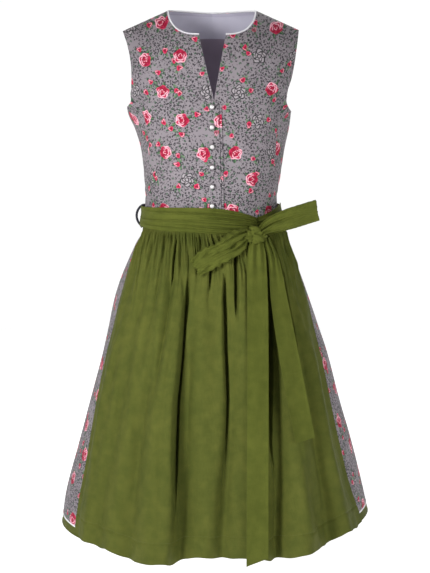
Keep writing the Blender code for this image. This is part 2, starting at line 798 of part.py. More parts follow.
def bow_loop(name, stations, material):
    """A band that goes out, turns and comes back, flattened, narrow where the knot holds it."""
    def place(share):
        return tuple(column(stations, field, share, key="share") for field in ("x", "y", "z"))

    def frame(share):
        """The centre there and the directions along, out of and up the loop."""
        run = unit(add(place(min(share + 0.02, 1.0)), place(max(share - 0.02, 0.0)), -1.0))
        out = unit(cross(run, (0, 0, 1)))
        if out[1] > 0:
            out = tuple(-a for a in out)
        return place(share), run, out, unit(cross(out, run))

    shares = (0.02, 0.2, 0.4, 0.6, 0.8, 0.93)
    half = 0.5 * (LOOP_GAP + TIE_WALL)
    path = [(s, -half * mix(0.8, 1.0, s)) for s in shares]
    path += [(1.0, -0.6 * half), (1.015, 0.0), (1.0, 0.6 * half)]
    path += [(s, half * mix(0.8, 1.0, s)) for s in reversed(shares)]
    length = sum(math.dist(a[1:4], b[1:4]) for a, b in zip(stations, stations[1:]))

    def grid(sign):
        rows = []
        for i, (share, offset) in enumerate(path):
            a, b = path[max(i - 1, 0)], path[min(i + 1, len(path) - 1)]
            run = ((b[0] - a[0]) * length, b[1] - a[1])
            size = math.hypot(*run)
            nudge = (-run[1] / size, run[0] / size)
            centre, along, out, up = frame(min(share, 1.0))
            centre = add(centre, along, (share - min(share, 1.0)) * length)
            half_band = column(stations, "half", share, key="share")
            row = []
            for v in steps(4):
                across = mix(-1, 1, v)
                ruck = 0.0010 * math.cos(3 * math.pi * v) * (1 - share) if share < 1 else 0.0
                p = add(centre, up, across * half_band)
                p = add(p, along, sign * 0.5 * TIE_WALL * nudge[0])
                row.append(add(p, out, offset + ruck + sign * 0.5 * TIE_WALL * nudge[1]))
            rows.append(row)
        return rows

    return wall(name, grid(1), grid(-1), material)


def angle_at(x, z, out):
    """The angle at which a point that stands off the skirt by out has this x."""
    angle = angle_of(x, column(SKIRT, "right", z))
    for _ in range(6):
        normal = skirt_frame(angle, z)[1]
        angle = angle_of(x - out * normal[0], column(SKIRT, "right", z))
    return angle


def bow_tail(name, path, ends, levels, material):
    """A tie end that hangs over the apron, made from the apron's own points, moved out."""

    def stand_off(left, right, z):
        angles = [mix(left - 3.0, right + 3.0, u) for u in steps(10)]
        reach = max(apron_fold(a, z) for a in angles)
        gathers = 2.8 * GATHER_HEIGHT * math.exp(-(((WAIST_Z - z) / 0.11) ** 2))
        return reach + gathers + APRON_GAP

    def grid(out):
        rows = []
        top = path[0].z
        for v in steps(levels):
            row = []
            for u in steps(3):
                z = mix(top, mix(ends[0], ends[1], u), v)
                left, right = column(path, "left", z), column(path, "right", z)
                resting = stand_off(angle_at(left, z, 0.01), angle_at(right, z, 0.01), z)
                hanging = TAIL_START_OUT * (1 - ease((top - z) / 0.10))
                lift = max(resting, resting * 0.4 + hanging)
                row.append(skirt_point(angle_at(mix(left, right, u), z, lift), z, lift + out))
            rows.append(row)
        return rows

    return wall(name, grid(TIE_WALL), grid(0.0), material)


# Small pieces -----------------------------------------------------------------------------------
def button(index, z, material):
    """A ball button with a flat foot on the lapped front."""
    columns, rows = 10, 6
    base = torso_point(BUTTON_X, z, True, lap(BUTTON_X) + SEAM_GAP)
    out = torso_normal(*torso_point(BUTTON_X, z, True, 0.0), True)
    side = unit(cross(out, (0, 0, 1)))
    up = cross(side, out)
    centre = add(base, out, BUTTON_RADIUS * 0.85)
    points = []
    for r in range(1, rows + 1):
        tilt = math.radians(mix(0, 150, r / rows))
        for c in range(columns):
            turn = 2 * math.pi * c / columns
            ring = BUTTON_RADIUS * math.sin(tilt)
            p = add(centre, out, BUTTON_RADIUS * 0.9 * math.cos(tilt))
            points.append(add(add(p, side, ring * math.cos(turn)), up, ring * math.sin(turn)))
    points.append(add(centre, out, BUTTON_RADIUS * 0.9))
    tip = len(points) - 1
    faces = [tuple(reversed(range((rows - 1) * columns, rows * columns)))]
    for c in range(columns):
        n = (c + 1) % columns
        faces.append((tip, c, n))
        for r in range(rows - 1):
            a = r * columns
            faces.append((a + c, a + columns + c, a + columns + n, a + n))
    return solid(f"button_{index}", points, faces, material)


def tube(name, line, radius, material, first_run=None, last_run=None, sides=6):
    """A round cord through the given points, with flat ends square to the runs given."""
    points, faces = [], []
    for i, p in enumerate(line):
        run = unit(add(line[min(i + 1, len(line) - 1)], line[max(i - 1, 0)], -1.0))
        if i == 0 and first_run:
            run = first_run
        if i == len(line) - 1 and last_run:
            run = last_run
        side = unit(cross(run, (0.0, 0.31, 0.95)))
        up = cross(side, run)
        for k in range(sides):
            turn = 2 * math.pi * k / sides
            points.append(add(add(p, side, radius * math.cos(turn)), up, radius * math.sin(turn)))
    for i in range(len(line) - 1):
        for k in range(sides):
            n = (k + 1) % sides
            a = i * sides
            faces.append((a + k, a + n, a + sides + n, a + sides + k))
    faces.append(tuple(reversed(range(sides))))
    last = (len(line) - 1) * sides
    faces.append(tuple(range(last, last + sides)))
    return solid(name, points, faces, material)


def neck_edge_line(edge, inside, clear):
    """Points just past an edge: edge holds its points, inside those one step into the cloth."""
    line = []
    for i, (p, q) in enumerate(zip(edge, inside)):
        run = unit(add(edge[min(i + 1, len(edge) - 1)], edge[max(i - 1, 0)], -1.0))
        away = add(p, q, -1.0)
        away = add(away, run, -sum(a * b for a, b in zip(away, run)))
        line.append(add(p, unit(away), clear))
    return line


def neck_trim(material):
    """White cord along the neck edge, on the edge of the wall."""
    clear = TRIM_RADIUS + 3 * SEAM_GAP
    middle = -0.5 * BODICE_WALL
    for name, sections, side in (("left", LEFT_FRONT, -1), ("right", RIGHT_FRONT, 1)):
        edge, inside = [], []
        for section in sections[9:]:
            end = edge_x(section.outer_z, side)
            for row, t in ((edge, 0.0), (inside, 0.1)):
                x = mix(section.inner_x, end, t)
                z = mix(section.inner_z, section.outer_z, t)
                if section is sections[-1]:
                    z = ridge_z(x)
                row.append(torso_point(x, z, True, middle))
        line = neck_edge_line(edge, inside, clear)
        line[-1] = (line[-1][0], -SEAM_GAP, line[-1][2])
        tube(f"neck_trim_{name}", line, TRIM_RADIUS, material, last_run=(0, 1, 0))
    rows = back_grid(middle, 0.0)
    edge, inside = rows[-1][3:-3], rows[-2][3:-3]
    line = neck_edge_line(edge, inside, clear)
    for i in (0, -1):
        line[i] = (line[i][0], SEAM_GAP, line[i][2])
    tube("neck_trim_back", line, TRIM_RADIUS, material, (0, 1, 0), (0, -1, 0))


def back_lining(material):
    face = -BODICE_WALL - 2 * SEAM_GAP
    sections, foot = LEFT_FRONT[:-1], WAIST_Z + 2 * SEAM_GAP
    outer = back_grid(face, 2 * SEAM_GAP, sections, foot)
    inner = back_grid(face - LINING_WALL, 2 * SEAM_GAP, sections, foot)
    return wall("back_lining", outer, inner, material)


def belt_loop(name, angle, stand_off, material):
    """A narrow dark strip that stands round the sash at a side seam."""

    def grid(out):
        rows = []
        for share in steps(10):
            z = mix(BELT_LOOP_TOP_Z, BELT_LOOP_FOOT_Z, share)
            stand = mix(6 * SEAM_GAP, stand_off, math.sin(math.pi * share) ** 0.4)
            edges = (angle - BELT_LOOP_HALF_DEG, angle + BELT_LOOP_HALF_DEG)
            rows.append([waist_point(edge, z, stand + out) for edge in edges])
        return rows

    return wall(name, grid(BELT_LOOP_WALL), grid(0.0), material)


def main():
    for item in list(bpy.data.objects):
        bpy.data.objects.remove(item)
    printed, lining, green, white, dark, metal = [cloth(*row) for row in MATERIALS]

    bodice_front("bodice_front_left", LEFT_FRONT, -1, printed)
    bodice_front("bodice_front_right", RIGHT_FRONT, 1, printed)
    bodice_side("bodice_side_left", -1, printed)
    bodice_side("bodice_side_right", 1, printed)
    bodice_back(printed)
    back_lining(lining)
    neck_trim(white)
    for index, z in enumerate(BUTTON_LEVELS, start=1):
        button(index, z, metal)

    piping_top = PRINT_END_Z - SEAM_GAP
    piping_foot = piping_top - PIPING_DROP
    band_levels = (piping_foot - SEAM_GAP, piping_foot - SEAM_GAP - HEM_BAND_DROP)
    for word, back in (("front", False), ("back", True)):
        skirt_piece(f"skirt_{word}", SKIRT_LEVELS, back, printed)
        piping = (piping_top, piping_foot)
        skirt_piece(f"hem_piping_{word}", piping, back, white, PIPING_PROUD, PIPING_WALL)
        skirt_piece(f"hem_band_{word}", band_levels, back, green)

    apron(green)
    sashes(green)
    knot(green)
    bow_loop("bow_loop_right", RIGHT_LOOP, green)
    bow_loop("bow_loop_left", LEFT_LOOP, green)
    bow_tail("bow_tail_long", LONG_TAIL, LONG_TAIL_END, 14, green)
    bow_tail("bow_tail_short", SHORT_TAIL, SHORT_TAIL_END, 10, green)
    belt_loop("belt_loop_left", -91.0, 0.0140, dark)
    belt_loop("belt_loop_right", 106.0, 0.0105, dark)


if __name__ == "__main__":
    main()
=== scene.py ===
"""Looks of a sleeveless dirndl dress with a gathered, bow-tied apron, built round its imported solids.

Metres, +Z up, the front faces -Y. Left is -X, the left of a person who looks at the front.
Angles are in degrees round the body, 0 at the front and 90 at the right. A form's out is how far
a point stands off that form.
"""
import math
from collections import namedtuple

import bpy
import numpy as np
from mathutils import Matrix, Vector


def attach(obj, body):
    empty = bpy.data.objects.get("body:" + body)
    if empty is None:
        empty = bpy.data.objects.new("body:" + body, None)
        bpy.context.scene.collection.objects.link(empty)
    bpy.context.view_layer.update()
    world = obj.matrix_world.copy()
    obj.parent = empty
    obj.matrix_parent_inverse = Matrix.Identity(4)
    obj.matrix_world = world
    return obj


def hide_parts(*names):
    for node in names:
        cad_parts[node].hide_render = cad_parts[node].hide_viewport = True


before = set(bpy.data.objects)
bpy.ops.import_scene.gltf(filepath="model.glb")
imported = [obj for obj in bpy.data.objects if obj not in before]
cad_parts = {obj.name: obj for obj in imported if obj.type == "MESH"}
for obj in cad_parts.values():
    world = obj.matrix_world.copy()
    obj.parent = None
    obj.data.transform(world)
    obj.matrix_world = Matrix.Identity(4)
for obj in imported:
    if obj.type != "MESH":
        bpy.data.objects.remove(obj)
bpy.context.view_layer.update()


def table(columns, *rows):
    """Rows of values with a name for each column."""
    row = namedtuple("Row", columns)
    return [row(*values) for values in rows]


# Sizes that the solids use -----------------------------------------------------------------------
SEAM_GAP = 0.0003
LAP_GAP = 0.0008
BODICE_CAD_WALL = 0.0016
BODICE_WALL = 0.0012
LINING_WALL = 0.0008
SKIRT_WALL = 0.0010
APRON_CAD_WALL = 0.0013
APRON_WALL = 0.0009
BAND_WALL = 0.0014
TIE_WALL = 0.0011
ROUNDNESS = 2.2  # the power of the level sections: 2 would make them ellipses
SIDE_WORDS = {-1: "left", 1: "right"}

WAIST_Z = -0.4135
NECK_X = 0.0838
SHOULDER_SLOPE = 0.445
ARCH_Z = -0.150  # above it the torso closes towards the shoulder line
CLOSING_CURVE = 1.90
CLOSING_POWERS = (0.66, 0.60)  # of the front and of the back
BUST_X, BUST_Z, BUST_DEPTH = 0.074, -0.190, 0.008
UNDERARM_Z = {-1: -0.1775, 1: -0.1860}
SEAM_TOP_Z = -0.155

PICOT_PITCH = 0.0034
PICOT_RADII = (0.0008, 0.0015)  # between the scallops and on them
PICOT_CLEAR = 0.0012

BUTTON_RADIUS = 0.0047
BUTTON_FLATNESS = 0.9
BUTTON_X = 0.0003
BUTTON_LEVELS = (-0.1727, -0.2075, -0.2431, -0.2807, -0.3174, -0.3536)

SKIRT_TOP_Z = -0.4138
PRINT_END_Z = -0.9635
PIPING_DROP = 0.0028
PIPING_WALL = 0.0014
PIPING_BULGE = 0.0006
HEM_BAND_DROP = 0.0150
APRON_HEM_Z = -0.9785
APRON_SEAM_Z = APRON_HEM_Z + 0.036  # the stitched top of the apron's hem
HEM_SKEW = 0.060

BAND_TOP_Z = -0.3660
BAND_FOOT_Z = -0.4085
BAND_END_DEG = 94.0
BAND_TUCK = 0.0080
LAYER_ONE = 0.0036
LAYER_TWO = 0.0058
TAIL_START_OUT = 0.012

KNOT_PLACE = (0.0715, -0.4095)  # x and z
KNOT_HALF = (0.0245, 0.0112, 0.0158)

TORSO = table(
    "z left right front back",
    (-0.4135, 0.1320, 0.1370, 0.1000, 0.0920),
    (-0.3600, 0.1270, 0.1235, 0.0960, 0.0860),
    (-0.3020, 0.1290, 0.1305, 0.1000, 0.0890),
    (-0.2550, 0.1343, 0.1371, 0.1075, 0.0940),
    (-0.2174, 0.1453, 0.1450, 0.1140, 0.0990),
    (-0.1900, 0.1575, 0.1485, 0.1165, 0.1025),
    (-0.1500, 0.1625, 0.1530, 0.1140, 0.1050),
    (-0.1000, 0.1670, 0.1620, 0.1140, 0.1050),
    (-0.0300, 0.1740, 0.1700, 0.1140, 0.1050),
    (0.0400, 0.1760, 0.1720, 0.1140, 0.1050),
)
SKIRT = table(
    "z left right front back",
    (-0.4000, 0.1300, 0.1330, 0.0985, 0.0905),
    (-0.4138, 0.1320, 0.1370, 0.1000, 0.0920),
    (-0.4340, 0.1432, 0.1415, 0.1110, 0.1060),
    (-0.4750, 0.1608, 0.1585, 0.1270, 0.1250),
    (-0.5400, 0.1845, 0.1835, 0.1470, 0.1480),
    (-0.6000, 0.1995, 0.2060, 0.1620, 0.1660),
    (-0.6500, 0.2110, 0.2230, 0.1740, 0.1800),
    (-0.7437, 0.2364, 0.2480, 0.1930, 0.2040),
    (-0.8211, 0.2573, 0.2710, 0.2050, 0.2200),
    (-0.9138, 0.2826, 0.2950, 0.2150, 0.2360),
    (-0.9840, 0.2930, 0.3105, 0.2200, 0.2460),
)
# The front's outer edges, and so the seams and the armholes
EDGES = table(
    "z left right",
    (-0.4135, 0.1190, 0.1240),
    (-0.3600, 0.1145, 0.1110),
    (-0.3000, 0.1150, 0.1155),
    (-0.2500, 0.1170, 0.1185),
    (-0.2120, 0.1205, 0.1200),
    (-0.1860, 0.1270, 0.1225),
    (-0.1700, 0.1380, 0.1290),
    (-0.1550, 0.1505, 0.1390),
    (-0.1400, 0.1500, 0.1425),
    (-0.1212, 0.1485, 0.1480),
    (-0.0936, 0.1501, 0.1535),
    (-0.0643, 0.1564, 0.1580),
    (-0.0360, 0.1670, 0.1622),
)
# Sections across the two fronts, from the waist to the shoulder: the inner end of each and the
# level of its outer end
FRONTS = table(
    "step left_x left_z right_x right_z outer_z",
    (0, 0.0230, -0.4135, 0.0080, -0.4135, -0.4135),
    (1, 0.0218, -0.3600, 0.0080, -0.3600, -0.3620),
    (2, 0.0205, -0.3000, 0.0080, -0.3000, -0.3060),
    (3, 0.0192, -0.2450, 0.0080, -0.2450, -0.2560),
    (4, 0.0182, -0.2050, 0.0080, -0.2050, -0.2170),
    (5, 0.0176, -0.1660, 0.0080, -0.1700, -0.1860),
    (6, 0.0035, -0.1600, 0.0042, -0.1600, -0.1690),
    (7, -0.0060, -0.1200, 0.0110, -0.1200, -0.1550),
    (8, -0.0155, -0.0790, 0.0185, -0.0790, -0.1320),
    (9, -0.0235, -0.0440, 0.0257, -0.0440, -0.1080),
    (10, -0.0450, -0.0425, 0.0450, -0.0425, -0.0840),
    (11, -0.0640, -0.0350, 0.0640, -0.0350, -0.0650),
    (12, -0.0770, -0.0210, 0.0770, -0.0210, -0.0500),
    (13, -0.0823, -0.0085, 0.0823, -0.0085, -0.0410),
    (14, -0.0838, 0.0000, 0.0838, 0.0000, -0.0360),
)
FRONT_ROWS = 8  # rows of points for each section
PLACKET_TOP_Z = -0.112
SLIT_TOP_STEP = 9  # the section at the corner between the slit and the neck edge
LINING_TOP_STEP = 13

APRON_FOLDS = table(
    "waist hem width rise begins",
    (-68, -54, 5.0, 0.007, -0.47),
    (-46, -43, 3.5, -0.007, -0.50),
    (-38, -35, 5.0, 0.010, -0.48),
    (-30, -27, 2.5, -0.006, -0.50),
    (-24, -17.5, 8.5, 0.040, -0.43),
    (-15, -9.8, 2.6, -0.021, -0.45),
    (-5, -2.0, 5.5, 0.014, -0.43),
    (7.8, 2.4, 2.1, -0.018, -0.45),
    (18, 13, 6.5, 0.022, -0.43),
    (40, 19.5, 2.2, -0.022, -0.43),
    (44, 28, 7.0, 0.040, -0.43),
    (48, 42, 2.5, -0.012, -0.44),
    (56, 50, 4.5, 0.010, -0.47),
)
LONG_LINE = (-0.48, -0.52, -0.61, -0.70, -0.79, -0.93), (-13.2, -12.9, -13.9, -14.6, -13.8, -12.0)
MIDDLE_LINE = (-0.45, -0.49, -0.52), (-0.5, -0.8, -1.3)
# Creases of the apron: a line of levels and angles, how deep it sinks, its half widths on the left
# and the right in degrees, the levels where it begins, is whole, fades and ends, how high the lip
# at its left stands, and how many degrees that lip leans over it
APRON_CREASES = table(
    "levels angles depth left right begins full fades ends lip over",
    (*LONG_LINE, 0.009, 0.9, 3.6, -0.49, -0.63, -0.86, -1.04, 0.007, 1.6),
    ((-0.56, -0.61, -0.70, -0.79, -0.93), (-11.6, -11.1, -11.2, -10.0, -7.8),
     0.011, 2.4, 3.4, -0.56, -0.68, -0.90, -1.06, 0, 0),
    ((-0.46, -0.52, -0.61, -0.70, -0.79, -0.86), (8.1, 7.0, 6.1, 5.5, 4.1, 3.4),
     0.012, 1.1, 3.8, -0.45, -0.55, -0.72, -0.92, 0.006, 1.4),
    ((-0.42, -0.45, -0.49, -0.54), (14.5, 14.2, 12.8, 11.5),
     0.007, 1.0, 1.8, -0.41, -0.45, -0.49, -0.57, 0, 0),
    ((-0.43, -0.47, -0.53, -0.61, -0.70, -0.79, -0.93), (38.2, 36.2, 34.0, 27.0, 23.2, 20.5, 17.5),
     0.011, 1.5, 4.0, -0.45, -0.57, -0.80, -1.05, 0, 0),
    ((-0.43, -0.4875, -0.53, -0.595, -0.66), (-27.0, -23.5, -22.7, -22.8, -24.0),
     0.0130, 2.6, 2.0, -0.44, -0.50, -0.63, -0.71, 0.006, 0.3),
    (*MIDDLE_LINE, 0.006, 0.9, 1.6, -0.44, -0.47, -0.50, -0.55, 0, 0),
    ((-0.48, -0.55, -0.61, -0.70, -0.79, -0.88, -0.95), (53.0, 47.5, 39.3, 35.0, 32.2, 34.2, 37.5),
     0.010, 3.2, 4.0, -0.47, -0.56, -0.92, -1.02, 0, 0),
    ((-0.42, -0.47, -0.515, -0.54, -0.58), (-47.5, -45.0, -44.0, -43.0, -43.3),
     0.0090, 1.8, 2.4, -0.42, -0.45, -0.52, -0.60, 0.004, 0.3),
    ((-0.43, -0.455, -0.50, -0.54), (-21.5, -19.2, -15.2, -13.0),
     0.008, 0.9, 1.8, -0.42, -0.45, -0.50, -0.56, 0, 0),
    ((-0.42, -0.44, -0.465), (-46.7, -44.8, -44.8), 0.0060, 1.0, 1.8, -0.412, -0.43, -0.46, -0.50, 0, 0),
    ((-0.42, -0.44, -0.46), (-7.5, -7.0, -7.3), 0.007, 0.8, 1.5, -0.412, -0.43, -0.45, -0.48, 0, 0),
    ((-0.43, -0.46, -0.49), (31.7, 29.8, 26.8), 0.007, 0.9, 1.5, -0.414, -0.44, -0.47, -0.53, 0, 0),
    ((-0.43, -0.48, -0.55), (-34.5, -33.5, -32.0), 0.006, 1.0, 2.2, -0.415, -0.45, -0.49, -0.57, 0, 0),
    ((-0.43, -0.48, -0.53), (-62.0, -59.0, -57.0), 0.005, 1.2, 2.2, -0.415, -0.45, -0.49, -0.56, 0, 0),
    ((-0.43, -0.48, -0.53), (62.0, 60.0, 58.0), 0.005, 1.2, 2.2, -0.415, -0.45, -0.49, -0.56, 0, 0),
)
# Deep gaps under a fold's lip, which go down to the cloth below: a line, its half width in
# degrees, and the levels where it begins, is whole, fades and ends
APRON_GAPS = table(
    "levels angles half begins full fades ends",
    (*LONG_LINE, 1.25, -0.460, -0.540, -0.76, -0.96),
    ((-0.46, -0.52, -0.61, -0.70, -0.79, -0.86), (7.0, 5.6, 4.9, 4.9, 3.6, 2.4),
     1.25, -0.46, -0.53, -0.65, -0.84),
    ((-0.42, -0.45, -0.49, -0.54), (15.2, 14.9, 13.6, 12.0), 0.95, -0.415, -0.445, -0.51, -0.56),
    ((-0.42, -0.43, -0.47, -0.53, -0.61, -0.70, -0.79), (43.0, 42.5, 39.6, 34.9, 28.8, 24.6, 21.5),
     1.00, -0.415, -0.45, -0.66, -0.88),
    ((-0.43, -0.466, -0.494, -0.551, -0.611, -0.66), (47.5, 50.4, 51.4, 48.0, 45.7, 44.0),
     0.80, -0.425, -0.455, -0.56, -0.66),
    ((-0.43, -0.46, -0.4875, -0.53), (-25.3, -24.6, -23.6, -22.8), 0.70, -0.42, -0.44, -0.465, -0.505),
    (*MIDDLE_LINE, 0.50, -0.44, -0.46, -0.475, -0.51),
)
GAP_DEPTH = 0.016
APRON_LIFT = 0.012
APRON_GAP = 0.0015
APRON_TOP_OUT = 0.0026  # how far the apron's seam stands off the skirt, under the band
APRON_TOP_DROP = 0.06  # how far below its seam the apron takes its full shape
APRON_EDGE_DEG = (16.0, 6.5)  # where the side edges come down to the skirt, at the seam and below
# The angles of the apron's two side edges
APRON_SIDES = table(
    "z left right",
    (-0.4090, -80.0, 84.0),
    (-0.4400, -75.0, 84.5),
    (-0.4700, -72.5, 85.0),
    (-0.5200, -68.5, 79.0),
    (-0.5800, -67.5, 70.0),
    (-0.6450, -69.8, 66.0),
    (-0.7200, -67.5, 64.5),
    (-0.8100, -63.5, 62.3),
    (-0.8900, -61.0, 62.6),
    (-0.9840, -60.0, 67.5),
)
# How far the hems of the skirt and the apron rise by their angle
HEMS = table(
    "angle skirt apron",
    (-180, 0.005, 0.000),
    (-120, 0.007, 0.000),
    (-75, 0.009, 0.008),
    (-60, 0.007, 0.0120),
    (-54, 0.006, 0.0095),
    (-48, 0.005, 0.0075),
    (-44.5, 0.004, 0.0045),
    (-41, 0.003, 0.0010),
    (-37, 0.002, 0.0045),
    (-28, -0.001, -0.007),
    (-19, 0.000, -0.0045),
    (-14.5, 0.0005, -0.0045),
    (-11.5, 0.001, -0.0125),
    (-5, 0.001, 0.001),
    (-1.5, 0.001, 0.0015),
    (2.5, 0.001, -0.005),
    (8, 0.001, -0.002),
    (13, 0.001, -0.002),
    (18.5, 0.000, -0.012),
    (22, 0.000, -0.006),
    (26.5, 0.003, 0.003),
    (33, 0.006, 0.003),
    (41.5, 0.010, 0.000),
    (46, 0.0125, 0.012),
    (50, 0.015, 0.019),
    (60, 0.016, 0.013),
    (80, 0.019, 0.019),
    (120, 0.012, 0.000),
    (180, 0.005, 0.000),
)
SEAM_ALLOWANCE_DEG = 0.7
BACK_FOLDS = 12
BACK_FOLD_DEPTH = 0.017

# The bow's tails: the x of their edges, then the levels of the two corners at the end
LONG_TAIL = table(
    "z left right",
    (-0.4137, 0.0700, 0.0920),
    (-0.4450, 0.0645, 0.0985),
    (-0.5200, 0.0640, 0.1020),
    (-0.6500, 0.0640, 0.1025),
    (-0.8000, 0.0630, 0.1020),
    (-0.9780, 0.0624, 0.1017),
)
LONG_TAIL_END = (-0.9915, -0.9780)
SHORT_TAIL = table(
    "z left right",
    (-0.4137, 0.0935, 0.1075),
    (-0.4500, 0.1035, 0.1225),
    (-0.5190, 0.1075, 0.1375),
    (-0.6200, 0.1215, 0.1580),
    (-0.7700, 0.1505, 0.1875),
)
SHORT_TAIL_END = (-0.7735, -0.7665)
# The bow's loops: places along them from the knot, and half their width there
RIGHT_LOOP = table(
    "share x y z half",
    (0.00, 0.0910, -0.1070, -0.4000, 0.0100),
    (0.25, 0.1120, -0.1075, -0.3880, 0.0165),
    (0.50, 0.1380, -0.1035, -0.3790, 0.0193),
    (0.75, 0.1660, -0.0960, -0.3710, 0.0196),
    (1.00, 0.1945, -0.0835, -0.3640, 0.0197),
)
LEFT_LOOP = table(
    "share x y z half",
    (0.00, 0.0640, -0.1130, -0.4050, 0.0120),
    (0.15, 0.0520, -0.1230, -0.4135, 0.0205),
    (0.32, 0.0360, -0.1320, -0.4245, 0.0220),
    (0.50, 0.0185, -0.1380, -0.4345, 0.0200),
    (0.75, -0.0055, -0.1420, -0.4465, 0.0210),
    (1.00, -0.0305, -0.1480, -0.4615, 0.0165),
)
LOOP_GAP = 0.0030
LOOP_ENDS = (0.005, 0.985)  # shares of the way at which a loop leaves the knot and turns back


# Helpers -----------------------------------------------------------------------------------------
def ease(x):
    """0 to 1 with soft ends."""
    x = np.clip(x, 0.0, 1.0)
    return x * x * (3.0 - 2.0 * x)


def mix(a, b, t):
    return a + (b - a) * t


def bump(x):
    """A soft hump, 1 in the middle."""
    return np.exp(-x * x)


def read(rows, field, at, key="z"):
    """One column of a table as a smooth curve, read at the given values of its key column."""
    keys, values = (np.array([getattr(row, name) for row in rows], float) for name in (key, field))
    if keys[0] > keys[-1]:
        keys, values = keys[::-1], values[::-1]
    last = len(keys) - 1
    low, high = np.maximum(np.arange(last + 1) - 1, 0), np.minimum(np.arange(last + 1) + 1, last)
    slopes = (values[high] - values[low]) / (keys[high] - keys[low])
    at = np.asarray(at, float)
    i = np.clip(np.searchsorted(keys, at, side="right") - 1, 0, last - 1)
    span = keys[i + 1] - keys[i]
    t = np.clip((at - keys[i]) / span, 0.0, 1.0)
    start = (1 + 2 * t) * (1 - t) ** 2 * values[i] + t * (1 - t) ** 2 * span * slopes[i]
    end = t * t * (3 - 2 * t) * values[i + 1] - t * t * (1 - t) * span * slopes[i + 1]
    return start + end


def read_sides(rows, z):
    return read(rows, "left", z), read(rows, "right", z)


def stack(x, y, z):
    """Points or directions from their three numbers."""
    return np.stack(np.broadcast_arrays(x, y, z), axis=-1).astype(float)


def unit(v):
    return v / np.maximum(np.linalg.norm(v, axis=-1, keepdims=True), 1e-12)


def combine(point, ways, reaches):
    """A point moved along three directions, by an array of distances for each."""
    for way, reach in zip(ways, reaches):
        point = point + way * reach[..., None]
    return point


def shares(columns, rows):
    """Shares from 0 to 1 across and down a grid."""
    return np.linspace(0, 1, columns + 1)[None, :], np.linspace(0, 1, rows + 1)[:, None]


def lengths(points, axis=0):
    """The length along lines of points, from 0 at each line's start."""
    steps = np.linalg.norm(np.diff(points, axis=axis), axis=-1)
    return np.insert(np.cumsum(steps, axis=axis), 0, 0.0, axis=axis)


def along(line, length, at):
    """Values of a line's points at given lengths along it."""
    return np.stack([np.interp(at, length, line[:, k]) for k in range(3)], axis=-1)


def wander(at, seed, waves=4):
    """A smooth uneven line between about -1 and 1, the same each time."""
    total = np.zeros_like(np.asarray(at, float))
    for k in range(waves):
        pace = (1.0 + 1.7 * k) * (1.0 + 0.23 * math.sin(seed * 3.1 + k))
        total += math.sin(seed * 7.3 + 2.1 * k + 1.0) * np.sin(pace * at + seed * 1.9 + k * 2.4)
    return total / waves * 1.6


def creases(rows, v, shift, weight=lambda k: 1.0):
    """Soft ridges across v: rows of their place, half width and height.

    shift and weight give, for the number of a ridge, how far it strays and its share of height.
    """
    total = 0.0
    for k, (at, half, height) in enumerate(rows):
        total = total + height * bump((v - at - shift(k)) / half) * weight(k)
    return total


def mesh_piece(name, points, faces, materials, uvs=None, face_slots=None):
    mesh = bpy.data.meshes.new(name)
    mesh.from_pydata(points.tolist(), [], faces)
    for material in materials:
        mesh.materials.append(material)
    if face_slots is not None:
        mesh.polygons.foreach_set("material_index", np.asarray(face_slots, np.int32))
    if uvs is not None:
        layer = mesh.uv_layers.new(name="UVMap")
        index = np.empty(len(mesh.loops), np.int32)
        mesh.loops.foreach_get("vertex_index", index)
        layer.data.foreach_set("uv", uvs[index].astype(np.float32).ravel())
    mesh.shade_smooth()
    mesh.set_sharp_from_angle(angle=math.radians(60))
    piece = bpy.data.objects.new(name, mesh)
    bpy.context.scene.collection.objects.link(piece)
    return piece


def level_uv(grid, side, start):
    """Print coordinates of a bodice piece: length round the body, and level."""
    return np.stack([side * lengths(grid[..., :2], axis=1) + start, grid[..., 2] * 1.03], axis=-1)


def arc_uv(grid):
    """Lengths across and down a grid of points, from its middle column and its first row."""
    across = lengths(grid, axis=1)
    return np.stack([across - across[:, [grid.shape[1] // 2]], lengths(grid)], axis=-1)


def numbers(rows, columns):
    """The numbers of a grid's points."""
    return np.arange(rows * columns).reshape(rows, columns)


def shell(name, outer, inner, materials, uv=None):
    """A thin closed wall between two grids. The first material is on its outside and its rim."""
    rows, columns = outer.shape[:2]
    uv = (arc_uv(outer) if uv is None else uv).reshape(-1, 2)
    size = rows * columns
    at = numbers(rows, columns)
    a, b, c, d = at[:-1, :-1], at[:-1, 1:], at[1:, 1:], at[1:, :-1]
    front = np.stack([a, b, c, d], axis=-1).reshape(-1, 4)
    back = np.stack([a, d, c, b], axis=-1).reshape(-1, 4) + size
    ends = ((at[0, 1:], at[0, :-1]), (at[-1, :-1], at[-1, 1:]))
    sides = ((at[:-1, 0], at[1:, 0]), (at[1:, -1], at[:-1, -1]))
    rims = [np.stack([p, q, q + size, p + size], axis=-1) for p, q in ends + sides]
    faces = np.concatenate([front, back, *rims])
    points = np.concatenate([outer.reshape(-1, 3), inner.reshape(-1, 3)])
    corners = points[faces]
    volume = (np.cross(corners[:, 0], corners[:, 1]) * corners[:, 2]).sum()
    volume += (np.cross(corners[:, 0], corners[:, 2]) * corners[:, 3]).sum()
    if volume < 0:
        faces = faces[:, [0, 3, 2, 1]]
    slots = np.zeros(len(faces), int)
    slots[len(front) : len(front) + len(back)] = len(materials) - 1
    return mesh_piece(name, points, faces.tolist(), materials, np.concatenate([uv, uv]), slots)


def ring_faces(at, flip=False):
    """Quads between closed rings of points. Each row of at has the numbers of one ring."""
    near = np.roll(at, -1, axis=1)
    corners = [at[:-1], near[:-1], near[1:], at[1:]]
    if flip:
        corners[1:] = corners[:0:-1]
    return np.stack(corners, axis=-1).reshape(-1, 4).tolist()


